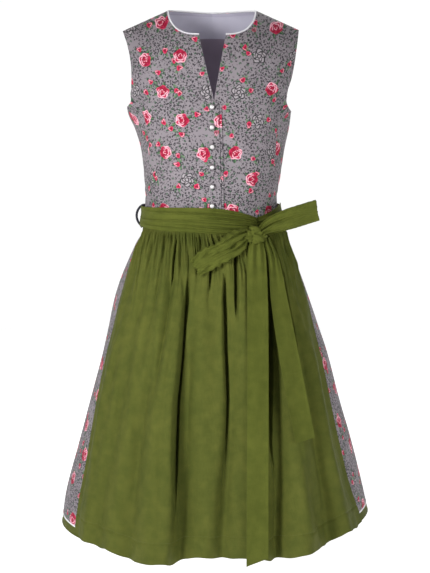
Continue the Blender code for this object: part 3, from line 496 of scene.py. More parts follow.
def fan(tip, ring, flip=False):
    """Triangles from a tip to a closed ring of points."""
    near = np.roll(ring, -1).tolist()
    pairs = zip(near, ring.tolist()) if flip else zip(ring.tolist(), near)
    return [(tip, a, b) for a, b in pairs]


def tube(name, line, radius, material, sides=8, ends=(None, None)):
    """A round cord along points, with a radius for each point."""
    line = np.asarray(line, float)
    radius = np.broadcast_to(np.asarray(radius, float), (len(line),))
    run = unit(np.gradient(line, axis=0))
    for i, end in zip((0, -1), ends):
        if end is not None:
            run[i] = end
    side = unit(np.cross(run, (0.0, 0.31, 0.95)))
    up = np.cross(side, run)
    turn = 2 * np.pi * np.arange(sides) / sides
    ring = side[:, None] * np.cos(turn)[:, None] + up[:, None] * np.sin(turn)[:, None]
    points = (line[:, None] + ring * radius[:, None, None]).reshape(-1, 3)
    at = numbers(len(line), sides)
    faces = [*ring_faces(at), at[0, ::-1].tolist(), at[-1].tolist()]
    girth = np.tile(turn * float(radius.mean()), len(line))
    uvs = np.stack([np.repeat(lengths(line), sides), girth], axis=-1)
    return mesh_piece(name, points, faces, [material], uvs)


def stitches(name, line, out, material, pitch=0.0030, length=0.0021, half=0.00028):
    """Short threads that lie along a line of points. out holds the outward directions."""
    points, faces = [], []
    reach = lengths(line)
    for start in np.arange(0.3 * pitch, reach[-1] - length, pitch):
        head, tail = along(line, reach, [start, start + length])
        normal = unit(along(out, reach, start))
        side = unit(np.cross(tail - head, normal)) * half
        middle = 0.5 * (head + tail)
        lift = normal * half
        base = len(points)
        points += [head, tail, middle + side, middle - side, middle + lift * 1.3, middle - lift]
        for p, q in ((2, 4), (4, 3), (3, 5), (5, 2)):
            faces += [(base, base + p, base + q), (base + 1, base + q, base + p)]
    points = np.array(points)
    return mesh_piece(name, points, faces, [material], np.zeros((len(points), 2)))


# Torso form --------------------------------------------------------------------------------------
def half_width(x, z):
    return np.where(np.asarray(x) < 0, *read_sides(TORSO, z))


def ridge_z(x):
    """The level of the shoulder line."""
    return -SHOULDER_SLOPE * (np.abs(x) - NECK_X)


def torso_depth(x, z, front):
    across, up = (np.abs(x) - BUST_X) / 0.044, (z - BUST_Z) / 0.045
    bust = BUST_DEPTH * np.exp(-(across**2) - up**2)
    depth = np.where(front, read(TORSO, "front", z) + bust, read(TORSO, "back", z))
    t = np.clip((z - ARCH_Z) / (ridge_z(x) - ARCH_Z), 0.0, 0.9999)
    return depth * (1.0 - t**CLOSING_CURVE) ** np.where(front, *CLOSING_POWERS)


def torso_y(x, z, front):
    share = np.minimum(np.abs(x) / half_width(x, z), 0.9999)
    y = torso_depth(x, z, front) * (1.0 - share**ROUNDNESS) ** (1.0 / ROUNDNESS)
    return np.where(front, -y, y)


def torso_normal(x, y, z, front):
    def level(px, py, pz):
        across = (np.abs(px) / half_width(px, pz)) ** ROUNDNESS
        return across + (np.abs(py) / np.maximum(torso_depth(px, pz, front), 1e-4)) ** ROUNDNESS

    d = 1e-4
    slope_x = level(x + d, y, z) - level(x - d, y, z)
    slope_y = level(x, y + d, z) - level(x, y - d, z)
    return unit(stack(slope_x, slope_y, level(x, y, z + d) - level(x, y, z - d)))


def torso_point(x, z, front, out):
    """A point of the front or back, moved out from the form. On the shoulder line it moves up."""
    x, z = np.broadcast_arrays(np.asarray(x, float), np.asarray(z, float))
    out = np.asarray(out, float)[..., None] if np.ndim(out) else out
    y = torso_y(x, z, front)
    plain = stack(x, y, z) + torso_normal(x, y, z, front) * out
    below = z - 0.003
    lower = torso_normal(x, torso_y(x, below, front), below, front)
    lower[..., 1] = 0.0
    ridge = stack(x, (-0.5 if front else 0.5) * SEAM_GAP, z) + unit(lower) * out
    return np.where((z > ridge_z(x) - 1e-6)[..., None], ridge, plain)


def round_level(angle):
    """The shares of a section's half width and depth at an angle from the front."""
    power = 2.0 / ROUNDNESS
    sine, cosine = np.sin(np.radians(angle)), np.cos(np.radians(angle))
    return np.sign(sine) * np.abs(sine) ** power, -np.sign(cosine) * np.abs(cosine) ** power


def torso_ring_point(angle, z, out):
    """The same form by its angle."""
    angle, z = np.broadcast_arrays(np.asarray(angle, float), np.asarray(z, float))
    side, depth = round_level(angle)
    x = side * half_width(side, z)
    front = np.cos(np.radians(angle)) >= 0
    y = depth * torso_depth(x, z, front)
    out = np.asarray(out, float)[..., None] if np.ndim(out) else out
    return stack(x, y, z) + torso_normal(x, y, z, front) * out


def edge_x(z, side):
    return side * read(EDGES, SIDE_WORDS[side], z)


def angle_of(x, width):
    return np.degrees(np.arcsin(np.minimum(np.abs(x) / width, 1.0) ** (ROUNDNESS / 2.0)))


# Bodice ------------------------------------------------------------------------------------------
FRONT_WRINKLES = ((-0.352, 0.0055, 0.0010), (-0.334, 0.0050, 0.0008), (-0.318, 0.0065, 0.0006))
SIDE_WRINKLES = ((-0.350, 0.006, 0.0010), (-0.331, 0.005, 0.0008), (-0.300, 0.007, 0.0005))
BACK_WRINKLES = ((-0.352, 0.006, 0.0011), (-0.333, 0.006, 0.0009), (-0.310, 0.008, 0.0007))


def bodice_wrinkle(x, z):
    """Soft drag folds: under the bust, towards the underarms, and short ones above the waist."""
    wide = np.abs(x)
    under = 0.0010 * bump((z + 0.262 + 0.30 * np.abs(wide - 0.06)) / 0.012)
    arm = 0.0012 * bump((z + 0.165 - 0.55 * (wide - 0.11)) / 0.010) * ease((wide - 0.06) / 0.04)
    waist = creases(
        FRONT_WRINKLES,
        z,
        lambda k: 0.10 * (wide - 0.08),
        lambda k: ease((np.abs(x + 0.004 * k) - 0.045) / 0.05),
    )
    return (under - arm - waist) * ease((ridge_z(x) - z) / 0.03)


def front_lines(side):
    """Inner ends and outer levels of closely spaced sections."""
    last = FRONTS[-1].step
    at = np.linspace(0, last, last * FRONT_ROWS + 1)
    found = []
    for field in (f"{SIDE_WORDS[side]}_x", f"{SIDE_WORDS[side]}_z"):
        straight = np.interp(at, range(last + 1), [getattr(row, field) for row in FRONTS])
        curved = read(FRONTS[SLIT_TOP_STEP:], field, at, key="step")
        found.append(np.where(at < SLIT_TOP_STEP, straight, curved)[:, None])
    return *found, read(FRONTS, "outer_z", at, key="step")[:, None]


def lap(x):
    """How far the left front rises to lie over the right one."""
    return (BODICE_CAD_WALL + LAP_GAP) * ease((x + 0.010) / 0.011)


def front_grid(side, out, columns=72):
    inner_x, inner_z, outer_z = front_lines(side)
    u = np.linspace(0, 1, columns + 1)
    t = u + 0.12 * np.sin(2 * np.pi * u) / (2 * np.pi)
    x = mix(inner_x, edge_x(outer_z, side) - side * 0.5 * SEAM_GAP, t)
    z = mix(inner_z, outer_z, t)
    z[-1] = ridge_z(x[-1])
    z = np.minimum(z, ridge_z(x))
    lift = out + bodice_wrinkle(x, z) + (lap(x) if side < 0 else 0.0)
    return torso_point(x, z, True, lift)


def side_grid(side, out, columns=48, rows=56):
    u, v = shares(columns, rows)
    dip = (SEAM_TOP_Z - UNDERARM_Z[side]) * np.sin(np.pi * u) ** 0.8
    z = mix(WAIST_Z, SEAM_TOP_Z - dip, v)
    seam = angle_of(edge_x(z, side), half_width(side, z))
    margin = np.degrees(0.5 * SEAM_GAP / 0.1)
    angle = side * mix(seam + margin, 180 - seam - margin, u)
    wrinkle = creases(SIDE_WRINKLES, z, lambda k: 0.006 * np.sin(3 * u))
    return torso_ring_point(angle, z, out - wrinkle * np.sin(np.pi * u))


def back_neck_z(x):
    return -0.004 * np.cos(0.5 * np.pi * np.minimum(np.abs(x) / NECK_X, 1.0)) ** 2


BACK_SHOULDER_COLUMNS = 16
BACK_NECK_COLUMNS = 56


def back_grid(out, margin, top_step=FRONTS[-1].step, foot=WAIST_Z):
    """Points of the back, on the levels of the fronts' outer ends up to section top_step."""
    left, right = (edge_x(EDGES[-1].z, side) for side in (-1, 1))
    neck = [(side * NECK_X - left) / (right - left) for side in (-1, 1)]
    across = np.concatenate(
        [
            np.linspace(0, neck[0], BACK_SHOULDER_COLUMNS + 1)[:-1],
            np.linspace(neck[0], neck[1], BACK_NECK_COLUMNS + 1),
            np.linspace(neck[1], 1, BACK_SHOULDER_COLUMNS + 1)[1:],
        ]
    )
    at = np.linspace(0, top_step, top_step * 6 + 1)
    level = np.maximum(read(FRONTS, "outer_z", at, key="step"), foot)[:, None]
    x = mix(edge_x(level, -1) + margin, edge_x(level, 1) - margin, across)
    top = mix(left, right, across)
    top_z = np.where(np.abs(top) > NECK_X - 1e-4, ridge_z(top), back_neck_z(top))
    climb = mix(*((level - foot) / (ridge_z(tip) - foot) for tip in (left, right)), across)
    z = np.minimum(mix(foot, top_z, np.minimum(climb, 1.0)), ridge_z(x))
    wide = np.abs(x)
    wrinkle = creases(BACK_WRINKLES, z, lambda k: 0.05 * wide * (1 + 0.4 * np.sin(19 * x)))
    arm = 0.0009 * bump((z + 0.150 - 0.7 * (wide - 0.10)) / 0.012) * ease((wide - 0.05) / 0.05)
    return torso_point(x, z, False, out - wrinkle - arm)


# Skirt and apron forms ---------------------------------------------------------------------------
BACK_GATHERS = ((64, 0.0022, 0.0, 0.045), (31, 0.0030, 0.03, 0.110), (15, 0.0040, 0.10, 0.25))
APRON_GATHERS = ((66, 0.0044, 0.0, 0.021), (42, 0.0055, 0.010, 0.032), (25, 0.0055, 0.035, 0.048))
SEAM_TUCK = 0.0030  # how far the front panel's edges go in behind the back's


def skirt_frame(angle, z):
    """Points of the smooth skirt form and the level directions out of it."""
    angle, z = np.broadcast_arrays(np.asarray(angle, float), np.asarray(z, float))

    def at(degrees):
        across, depth = round_level(degrees)
        x = across * np.where(across < 0, *read_sides(SKIRT, z))
        y = depth * np.where(depth < 0, read(SKIRT, "front", z), read(SKIRT, "back", z))
        return x, y + HEM_SKEW * ease((WAIST_Z - z) / 0.55) * x

    before, after = at(angle - 0.4), at(angle + 0.4)
    run = (after[0] - before[0], after[1] - before[1])
    length = np.hypot(*run)
    return stack(*at(angle), z), stack(run[1] / length, -run[0] / length, 0.0 * z)


def skirt_point(angle, z, out):
    point, normal = skirt_frame(angle, z)
    return point + normal * np.asarray(out)[..., None]


def fall(z):
    """0 at the waist and 1 at the end of the skirt's print."""
    return np.clip((WAIST_Z - z) / (WAIST_Z - PRINT_END_Z), 0.0, 1.0)


def hung(angle, z, panel):
    """The level of a place once its hem has risen or sunk."""
    rise = read(HEMS, panel, (np.asarray(angle) + 180) % 360 - 180, key="angle")
    return z + rise * fall(z) ** 3


def back_folds(angle, z):
    depth = np.zeros(np.broadcast_shapes(np.shape(angle), np.shape(z)))
    for k in range(BACK_FOLDS):
        middle = 101 + k * 14.4 + 2.4 * math.sin(2.3 * k)
        half = 4.6 + 1.0 * math.sin(3.1 * k)
        weight = BACK_FOLD_DEPTH * (1 + 0.35 * math.sin(1.7 * k + 0.5))
        depth = depth + weight * bump((angle % 360 - middle) / half)
    return depth * ease(fall(z) / 0.75)


def gathers(u, drop, orders):
    """Ridges of gathered cloth by the share across it and the drop below its seam.

    Each order of ridges has their number, height, where they are highest and how far they reach:
    fine ones at the seam run together into fewer and wider ones below.
    """
    total = np.zeros(np.broadcast_shapes(np.shape(u), np.shape(drop)))
    for k, (number, height, peak, reach) in enumerate(orders):
        phase = number * u + 0.55 * wander(u * 22.0, 1.3 + k) + 0.20 * wander(u * 61.0, 4.2 + k)
        uneven = 1.0 + 0.45 * wander(u * 37.0 + 1.0, 2.2 + k)
        length = reach * (1.0 + 0.45 * wander(u * 53.0, 5.1 + k))
        wave = 0.5 + 0.5 * np.cos(2 * np.pi * phase)
        rise = ease(drop / peak) if peak > 0 else 1.0
        ridge = 1.0 - (1.0 - wave) ** 2.0
        total = total + height * uneven * ridge * rise * bump(np.maximum(drop - peak, 0) / length)
    return total


def skirt_extra(angle, z, back):
    """How far the skirt stands off its smooth form, or sinks into it where the apron has gaps."""
    if not back:
        tuck = SEAM_TUCK * ease((np.abs(angle) - 90.0 + SEAM_ALLOWANCE_DEG) / SEAM_ALLOWANCE_DEG)
        return -apron_pits(angle, z, margin=1.3) - tuck
    drop = WAIST_Z - z
    u = (angle - 90.0) / 180.0
    edge = ease((angle - 90.0) / 5.0) * ease((270.0 - angle) / 5.0)
    fine = gathers(u, drop, BACK_GATHERS) * ease(drop / 0.010)
    ripple = 0.0020 * wander(u * 60.0 + 2.0 * drop, 3.3) * ease(drop / 0.2)
    return (fine - BACK_GATHERS[0][1] + ripple) * edge - back_folds(angle, z)


def skirt_grid(levels, out, back, columns):
    """A skirt panel. The front's edges go behind the back's at the side seams."""
    reach = 90.0 + SEAM_ALLOWANCE_DEG
    z = np.asarray(levels, float)[:, None]
    angle = np.linspace(*((90, 270) if back else (-reach, reach)), columns + 1)[None, :] + 0 * z
    level = hung(angle, z, "skirt")
    return skirt_point(angle, level, out + skirt_extra(angle, level, back))


def apron_fold(angle, z):
    """How far the apron's outer face stands off the skirt, as in the solid."""
    down = fall(z)
    out = APRON_LIFT * down
    for fold in APRON_FOLDS:
        middle = mix(fold.waist, fold.hem, down**0.8)
        half = fold.width * mix(0.75, 1.0, down)
        size = fold.rise * ease((fold.begins - z) / 0.16) * mix(0.35, 1.0, down)
        out = out + size * bump((angle - middle) / half)
    left, right = read_sides(APRON_SIDES, z)
    out = out * ease((angle - left) / 13.0) * ease((right - angle) / 13.0)
    near_waist = APRON_GAP * ease(1 - down / 0.10)
    return APRON_GAP + near_waist + APRON_CAD_WALL + above_zero(out, 0.0006)


def above_zero(x, soft):
    """x where it's over 0, and close to 0 elsewhere, with a soft turn between."""
    return 0.5 * (x + np.sqrt(x * x + soft * soft))


def band_foot(angle):
    return BAND_FOOT_Z + BAND_TUCK - 0.0035 * np.cos(np.radians(90 * angle / BAND_END_DEG))


def along_line(row, angle, z):
    """How far in degrees a place is from a crease's or gap's line, and how much of it is there."""
    off = angle - np.interp(-z, [-level for level in row.levels], row.angles)
    there = ease((row.begins - z) / (row.begins - row.full))
    return off, there * (1.0 - ease((row.fades - z) / (row.fades - row.ends)))


def apron_creases(angle, z):
    """How far the creases sink in, and how far in degrees their left lips lean over them."""
    sink, lean = np.zeros_like(angle), np.zeros_like(angle)
    for crease in APRON_CREASES:
        off, there = along_line(crease, angle, z)
        side = np.where(off < 0, off / crease.left, off / crease.right)
        lip = bump((off + 2.3 * crease.left) / (1.5 * crease.left))
        sink = sink + there * (crease.depth * np.exp(-np.abs(side) ** 1.6) - crease.lip * lip)
        lean = lean + there * crease.over * bump((off + 1.6 * crease.left) / (1.3 * crease.left))
    return sink + 1.6 * apron_pits(angle, z), lean


def apron_pits(angle, z, margin=0.0):
    """How far the deep gaps go below the skirt's surface. The skirt gives way a little wider."""
    depth = np.zeros(np.broadcast_shapes(np.shape(angle), np.shape(z)))
    for gap in APRON_GAPS:
        off, there = along_line(gap, angle, z)
        half = gap.half * mix(0.5, 1.0, there) + margin
        depth = np.maximum(depth, GAP_DEPTH * there * np.exp(-np.abs(off / half) ** 4))
    return depth


def apron_waves(u, z):
    """Broad soft swells and dents, and one fold line pressed across the cloth."""
    down = fall(z)
    broad = 0.0027 * wander(u * 13.0 + 1.5 * down, 3.7) + 0.0010 * wander(u * 25.0 - 2.0 * down, 5.9)
    dents = 0.0010 * wander(u * 17.0 + 31.0 * down, 8.3) + 0.0007 * wander(u * 29.0 - 43.0 * down, 2.9)
    pressed = 0.0005 * bump((z + 0.866 - 0.004 * np.sin(6 * u)) / 0.0025)
    return broad * ease(down / 0.25) + dents * ease(down / 0.15) - pressed


def apron_lift(angle, level, u, drop):
    """How far the gathered, creased apron stands off the skirt, and the lean of its lips."""
    full = apron_fold(angle, level) + gathers(u, drop, APRON_GATHERS) * ease(drop / 0.006)
    least = APRON_GAP + APRON_CAD_WALL - apron_pits(angle, level)
    sink, lean = apron_creases(angle, level)
    return least + above_zero(full + apron_waves(u, level) - sink - least, 0.0012), lean


def apron_places(columns=600, rows=73):
    """Levels and shares of the width, with the columns closer together at the deep gaps."""
    z = mix(APRON_SIDES[0].z, APRON_HEM_Z, np.linspace(0, 1, rows + 1) ** 1.25)
    seam = APRON_SEAM_Z + np.array([-0.0030, -0.0012, 0.0, 0.0012, 0.0030])
    z = np.sort(np.concatenate([z, seam]))[::-1][:, None]
    fine = np.linspace(0, 1, 1501)
    angle = mix(*read_sides(APRON_SIDES, z), fine[None, :])
    need = np.ones_like(angle)
    for gap in APRON_GAPS:
        off, _ = along_line(gap, angle, z)
        need = need + 2.2 * np.exp(-((off / 1.6) ** 2))
    total = np.cumsum(need, axis=1)
    total = (total - total[:, :1]) / (total[:, -1:] - total[:, :1])
    even = np.linspace(0, 1, columns + 1)
    return z, np.stack([np.interp(even, row, fine) for row in total])


def apron_grid(out, z, u):
    left, right = read_sides(APRON_SIDES, z)
    angle = mix(left, right, u)
    level = hung(angle, z, "apron")
    top = APRON_SIDES[0].z
    drop = np.maximum(top - z, 0.0)
    sag = (band_foot(angle) + 0.004 - top) * np.maximum(1 - drop / APRON_TOP_DROP, 0.0)
    full, lean = apron_lift(angle, level, u, drop)
    soft = mix(*APRON_EDGE_DEG, ease(drop / APRON_TOP_DROP))
    edge = ease((angle - left) / soft) * ease((right - angle) / soft)
    full = mix(APRON_GAP + APRON_CAD_WALL + 0.0003, full, edge)
    turned = 0.0007 * ease((APRON_SEAM_Z - z) / 0.0015) - 0.0006 * bump((z - APRON_SEAM_Z) / 0.0022)
    lift = mix(APRON_TOP_OUT, full, ease(drop / 0.010)) + turned
    return skirt_point(angle + lean, level + sag, lift + out)


# Sash forms --------------------------------------------------------------------------------------
SASH_LEFT_CREASES = (
    (0.10, 0.045, 0.0030),
    (0.27, 0.040, 0.0040),
    (0.44, 0.050, 0.0036),
    (0.60, 0.040, 0.0038),
    (0.76, 0.048, 0.0042),
    (0.92, 0.036, 0.0030),
)
SASH_LEFT_BEGINS = (0.05, 0.35, 0.00, 0.45, 0.15, 0.50)
SASH_RIGHT_CREASES = ((0.15, 0.05, 0.0026), (0.42, 0.06, 0.0036), (0.72, 0.05, 0.0032))
SASH_BACK_CREASES = ((0.22, 0.05, 0.0009), (0.50, 0.06, 0.0011), (0.77, 0.05, 0.0009))


def waist_point(angle, z, out):
    """A point at the waist, above the waist seam on the bodice and below it on the skirt."""
    angle, z = np.broadcast_arrays(np.asarray(angle, float), np.asarray(z, float))
    out = np.broadcast_to(np.asarray(out, float), angle.shape)
    above = torso_ring_point(angle, np.maximum(z, WAIST_Z), out)
    below = skirt_point(angle, np.minimum(z, WAIST_Z), out)
    return np.where((z > WAIST_Z)[..., None], above, below)


def sash_grid(ends, top, foot, out, crease, columns, rows=36):
    u, v = shares(columns, rows)
    return waist_point(mix(*ends, u), mix(foot(u), top(u), v), out + crease(u, v))


def left_crease(u, v):
    """Folds that run along the sash and together towards the knot."""
    near = 0.85 + 0.2 * u + 0.9 * ease((u - 0.6) / 0.4)
    folds = creases(
        SASH_LEFT_CREASES,
        v,
        lambda k: (0.06 * np.sin(5.0 * u + 1.7 * k) + 0.10 * (u - 0.5)) * (1 - u),
        lambda k: near * ease((u - SASH_LEFT_BEGINS[k]) / 0.35),
    )
    return folds + 0.0010 * np.sin(2 * np.pi * (1.3 * v + 0.8 * u)) * ease(u / 0.1)


def right_crease(u, v):
    folds = creases(SASH_RIGHT_CREASES, v, lambda k: 0.05 * np.sin(4.0 * u + 2.0 * k))
    return 1.5 * folds * ease(u / 0.7)


def back_crease(u, v):
    return creases(
        SASH_BACK_CREASES,
        v,
        lambda k: 0.07 * np.sin(9.0 * u + 1.3 * k),
        lambda k: (0.5 + 0.5 * np.sin(13.0 * u + k)) ** 2,
    )


# Bow forms ---------------------------------------------------------------------------------------
def angle_at(x, z, out):
    """The angle at which a point that stands off the skirt by out has this x."""
    width = read(SKIRT, "right", z)
    angle = angle_of(x, width)
    for _ in range(6):
        normal = skirt_frame(angle, z)[1]
        angle = angle_of(x - out * normal[..., 0], width)
    return angle


def tail_grid(path, ends, out, stand, rows, columns=28):
    """A tie end that hangs over the apron. It leans on the apron's highest folds."""
    u, v = shares(columns, rows)
    top = path[0].z
    z = mix(top, mix(*ends, u), v)
    left, right = read_sides(path, z)
    low, high = angle_at(left, z, 0.01) - 3.0, angle_at(right, z, 0.01) + 3.0
    reach = np.max([apron_fold(mix(low, high, s), z) for s in np.linspace(0, 1, 11)], axis=0)
    resting = reach + 0.0059 * bump((WAIST_Z - z) / 0.11) + APRON_GAP
    hanging = TAIL_START_OUT * (1 - ease((top - z) / 0.10))
    lift = np.maximum(resting, resting * 0.4 + hanging)
    for _ in range(3):
        lift[1:-1] = (lift[:-2] + lift[1:-1] + lift[2:]) / 3.0
    pinch = 0.0032 * bump((top - z) / 0.050) * np.cos(2 * np.pi * (2.3 * u + 0.35))
    wave = 0.0010 * wander(v * 14.0, 2.7) + 0.0007 * np.sin(2 * np.pi * (u * 0.9 + 1.6 * v))
    hem = 0.0004 * (1 - ease(np.minimum(u, 1 - u) / 0.14))
    curl = stand * ease(v / 0.25) * (1.0 + 0.5 * (2 * u - 1) ** 2)
    lift = lift + pinch + wave + hem + curl + 0.0012
    return skirt_point(angle_at(mix(left, right, u), z, lift), z, lift + out)


def loop_line(stations):
    """A loop's course out, round its end and back: its points with the directions of a frame.

    Returns the share of the way, the offset from the middle, the points, the directions along,
    out and up, and the direction through the cloth.
    """
    half = 0.5 * (LOOP_GAP + TIE_WALL)
    way = np.linspace(*LOOP_ENDS, 64)
    turn = np.radians(np.linspace(-90, 90, 11)[1:-1])
    share = np.concatenate([way, np.full(len(turn), way[-1]), way[::-1]])
    ahead = np.concatenate([0 * way, 0.0022 * np.cos(turn), 0 * way])
    spread = half * mix(0.8, 1.0, way)
    offset = np.concatenate([-spread, half * np.sin(turn), spread[::-1]])

    def at(share):
        return stack(*(read(stations, field, share, key="share") for field in "xyz"))

    run = unit(at(np.minimum(share + 0.02, 1.0)) - at(np.maximum(share - 0.02, 0.0)))
    out = unit(np.cross(run, (0.0, 0.0, 1.0)))
    out[out[:, 1] > 0] *= -1
    line = at(share) + run * ahead[:, None] + out * offset[:, None]
    step = unit(np.gradient(np.stack([share * 0.1 + ahead, offset], axis=1), axis=0))
    through = run * (-step[:, 1])[:, None] + out * step[:, 0][:, None]
    return share[:, None], offset[:, None], line, run, out, np.cross(out, run), through


def loop_grid(stations, sign, seed, crumple, columns=44):
    """A flattened band that goes out, turns and comes back, narrow where the knot holds it."""
    share, offset, line, run, out, up, through = loop_line(stations)
    v = np.linspace(-1, 1, columns + 1)[None, :]
    near = 1 - share
    ruck = 0.0034 * near**1.5 * np.cos(2 * np.pi * (1.9 * v + 0.25 * seed))
    ruck = ruck + 0.0017 * near**0.7 * np.cos(2 * np.pi * (2.9 * v + 0.4 * share + seed))
    ruck = ruck + 0.0012 * np.sin(3.0 * v + 5.0 * share + seed)
    lumps = wander(v * 2.4 + 2.0 * share, seed, 2) * wander(7.5 * share - 1.5 * v, 4.1, 2)
    ruck = ruck + crumple * lumps * ease(share / 0.25)
    belly = 0.0030 * np.sin(np.pi * share) * (1 - v**2) * np.sign(offset)
    upper, lower = wander(share * 13.0, 2.0 * seed, 3), wander(share * 14.0, 5.0 + seed, 3)
    ragged = 1 + crumple * 40.0 * (ease(v) * upper + ease(-v) * lower)
    band = read(stations, "half", share, key="share") * ragged * v
    end = crumple * 1.6 * ease((share - 0.6) / 0.4) * wander(v * 4.0, 3.0 + seed)
    grid = line[:, None] + up[:, None] * band[..., None]
    grid = grid + out[:, None] * (ruck + belly)[..., None] + run[:, None] * end[..., None]
    return grid + (through * (0.5 * TIE_WALL * sign))[:, None]


def knot_points(columns=112, rows=72):
    """The lump of the knot with the band that wraps it and its creases, and its two tips."""
    x, z = KNOT_PLACE
    angle = angle_of(x, half_width(1, z))
    normal = torso_normal(*torso_ring_point(angle, z, 0.0), True)
    centre = torso_ring_point(angle, z, LAYER_TWO + 0.0016 + KNOT_HALF[1])
    out = unit(np.array([normal[0], normal[1], 0.0]))
    across = np.array([-out[1], out[0], 0.0])
    up = np.array([0.0, 0.0, 1.0])
    rise = np.radians(np.linspace(-90, 90, rows + 1))[1:-1, None]
    turn = np.radians(np.linspace(0, 360, columns, endpoint=False))[None, :]

    def shaped(value):
        return np.sign(value) * np.abs(value) ** (2.0 / 2.6)

    a = shaped(np.cos(rise)) * shaped(np.cos(turn))
    b = shaped(np.cos(rise)) * shaped(np.sin(turn))
    h = shaped(np.sin(rise)) + 0 * turn
    lean = a * 0.55 + h
    folds = 0.09 * np.cos(7.0 * lean + 2.6 * a + 0.5) + 0.06 * np.cos(13.0 * lean - 3.0 * a)
    band = a + 0.15 * h
    wrap = 0.12 * bump((band - 0.10) / 0.42) - 0.26 * bump((band + 0.42) / 0.10)
    wrap = wrap - 0.24 * bump((band - 0.62) / 0.10)
    wrap = wrap - 0.22 * bump((h - 0.5 * a - 0.30) / 0.10) * bump((a - 0.1) / 0.5)
    size = 0.98 + (folds + wrap) * np.cos(rise) ** 0.5
    reaches = [share * size * half for share, half in zip((a, b, h), KNOT_HALF)]
    points = combine(centre, (across, out, up), reaches)
    tips = [centre + sign * 0.88 * KNOT_HALF[2] * up for sign in (-1, 1)]
    return points, tips


# Materials ---------------------------------------------------------------------------------------
FULL_TURN = 6.28  # near enough for turns by chance


def srgb(red, green, blue):
    """Linear colour for 0 to 255 screen values."""
    values = (c / 255.0 for c in (red, green, blue))
    return tuple(c / 12.92 if c <= 0.04045 else ((c + 0.055) / 1.055) ** 2.4 for c in values)


def fill(node, values):
    """Sets a node's inputs, or links them where the value is a field or a socket."""
    for key, value in dict(values).items():
        value = getattr(value, "socket", value)
        if isinstance(value, bpy.types.NodeSocket):
            node.id_data.links.new(value, node.inputs[key])
        else:
            node.inputs[key].default_value = value
    return node


def add_node(tree, kind, values=(), **settings):
    node = tree.nodes.new("ShaderNode" + kind)
    for name, setting in settings.items():
        setattr(node, name, setting)
    return fill(node, values)


def operation(name):
    return lambda field, *others: field.math(name, *others)


class Field:
    """A number that varies over a surface: one output among a material's nodes."""

    def __init__(self, tree, socket):
        self.tree = tree
        self.socket = socket

    def math(self, name, *others):
        node = add_node(self.tree, "Math", enumerate((self, *others)), operation=name)
        return Field(self.tree, node.outputs[0])

    __add__, __sub__ = operation("ADD"), operation("SUBTRACT")
    __mul__, __truediv__ = operation("MULTIPLY"), operation("DIVIDE")
    floor, part, abs = operation("FLOOR"), operation("FRACT"), operation("ABSOLUTE")
    sin, cos, most = operation("SINE"), operation("COSINE"), operation("MAXIMUM")

    def over(self, level, soft):
        """0 below the level and 1 above it, over a soft stretch."""
        values = {"Value": self, "From Min": level - 0.5 * soft, "From Max": level + 0.5 * soft}
        node = add_node(self.tree, "MapRange", values, interpolation_type="SMOOTHSTEP")
        return Field(self.tree, node.outputs["Result"])

    def under(self, level, soft):
        return (self * -1.0).over(-level, soft)


class Cloth:
    """One node material with a Principled shader, read over a surface's UVs in metres."""

    def __init__(self, name, roughness, metallic=0.0, sheen=0.0, sheen_roughness=0.5, specular=0.5):
        self.material = bpy.data.materials.new(name)
        self.material.use_nodes = True
        self.tree = self.material.node_tree
        self.shader = self.tree.nodes["Principled BSDF"]
        fill(self.shader, {"Roughness": roughness, "Metallic": metallic, "Sheen Weight": sheen})
        fill(self.shader, {"Sheen Roughness": sheen_roughness, "Specular IOR Level": specular})
        place = add_node(self.tree, "UVMap", uv_map="UVMap").outputs["UV"]
        self.u, self.v, _ = self.fields("SeparateXYZ", {"Vector": place})

    def fields(self, kind, values):
        """The outputs of a new node, as fields."""
        return [Field(self.tree, socket) for socket in add_node(self.tree, kind, values).outputs]

    def vector(self, *values):
        return add_node(self.tree, "CombineXYZ", enumerate(values)).outputs["Vector"]

    def body_place(self):
        return add_node(self.tree, "TexCoord").outputs["Object"]

    def noise_at(self, place, scale, detail):
        return self.fields("TexNoise", {"Vector": place, "Scale": scale, "Detail": detail})[0]

    def noise(self, x, y, z=0.0, scale=1.0, detail=2.0):
        return self.noise_at(self.vector(x, y, z), scale, detail)

    def body_noise(self, scale, detail=2.0):
        return self.noise_at(self.body_place(), scale, detail)

    def random(self, x, y, seed):
        chance = add_node(self.tree, "TexWhiteNoise", {"Vector": self.vector(x, y, seed)})
        return self.fields("SeparateColor", {"Color": chance.outputs["Color"]})

    def mix(self, amount, low, high):
        """A colour between two, each a colour or the output of another mix."""
        low, high = ((*value, 1.0) if isinstance(value, tuple) else value for value in (low, high))
        # inputs 6 and 7 and output 2 of a Mix node are its colours
        return add_node(self.tree, "Mix", {0: amount, 6: low, 7: high}, data_type="RGBA").outputs[2]

    def finish(self, colour, height=None, distance=0.0003, strength=0.5, **others):
        fill(self.shader, {"Base Color": colour, **others})
        if height is not None:
            values = {"Distance": distance, "Strength": strength, "Height": height}
            fill(self.shader, {"Normal": add_node(self.tree, "Bump", values).outputs["Normal"]})
        return self.material

    def weave(self, pitch):
        """Threads over and under each other."""
        turn = 2.0 * math.pi / pitch
        return (self.u * turn).sin() * (self.v * turn).sin() * 0.5 + 0.5

    def lattice(self, width, height, seed, jitter=0.0, lean=0.0):
        """Cells laid like bricks: the place from a cell's middle and three random numbers of it."""
        down = (self.v * math.cos(lean) - self.u * math.sin(lean)) / height
        row = down.floor()
        across = (self.u * math.cos(lean) + self.v * math.sin(lean)) / width + row * 0.5
        column = across.floor()
        chance = self.random(column, row, seed)
        x = (across - column - 0.5) * width + (chance[0] - 0.5) * jitter
        y = (down - row - 0.5) * height + (chance[1] - 0.5) * jitter
        return x, y, chance

    def turned_lattice(self, *cells, **options):
        """The same with each cell turned its own way."""
        x, y, chance = self.lattice(*cells, **options)
        return *turned(x, y, chance[2] * FULL_TURN), chance


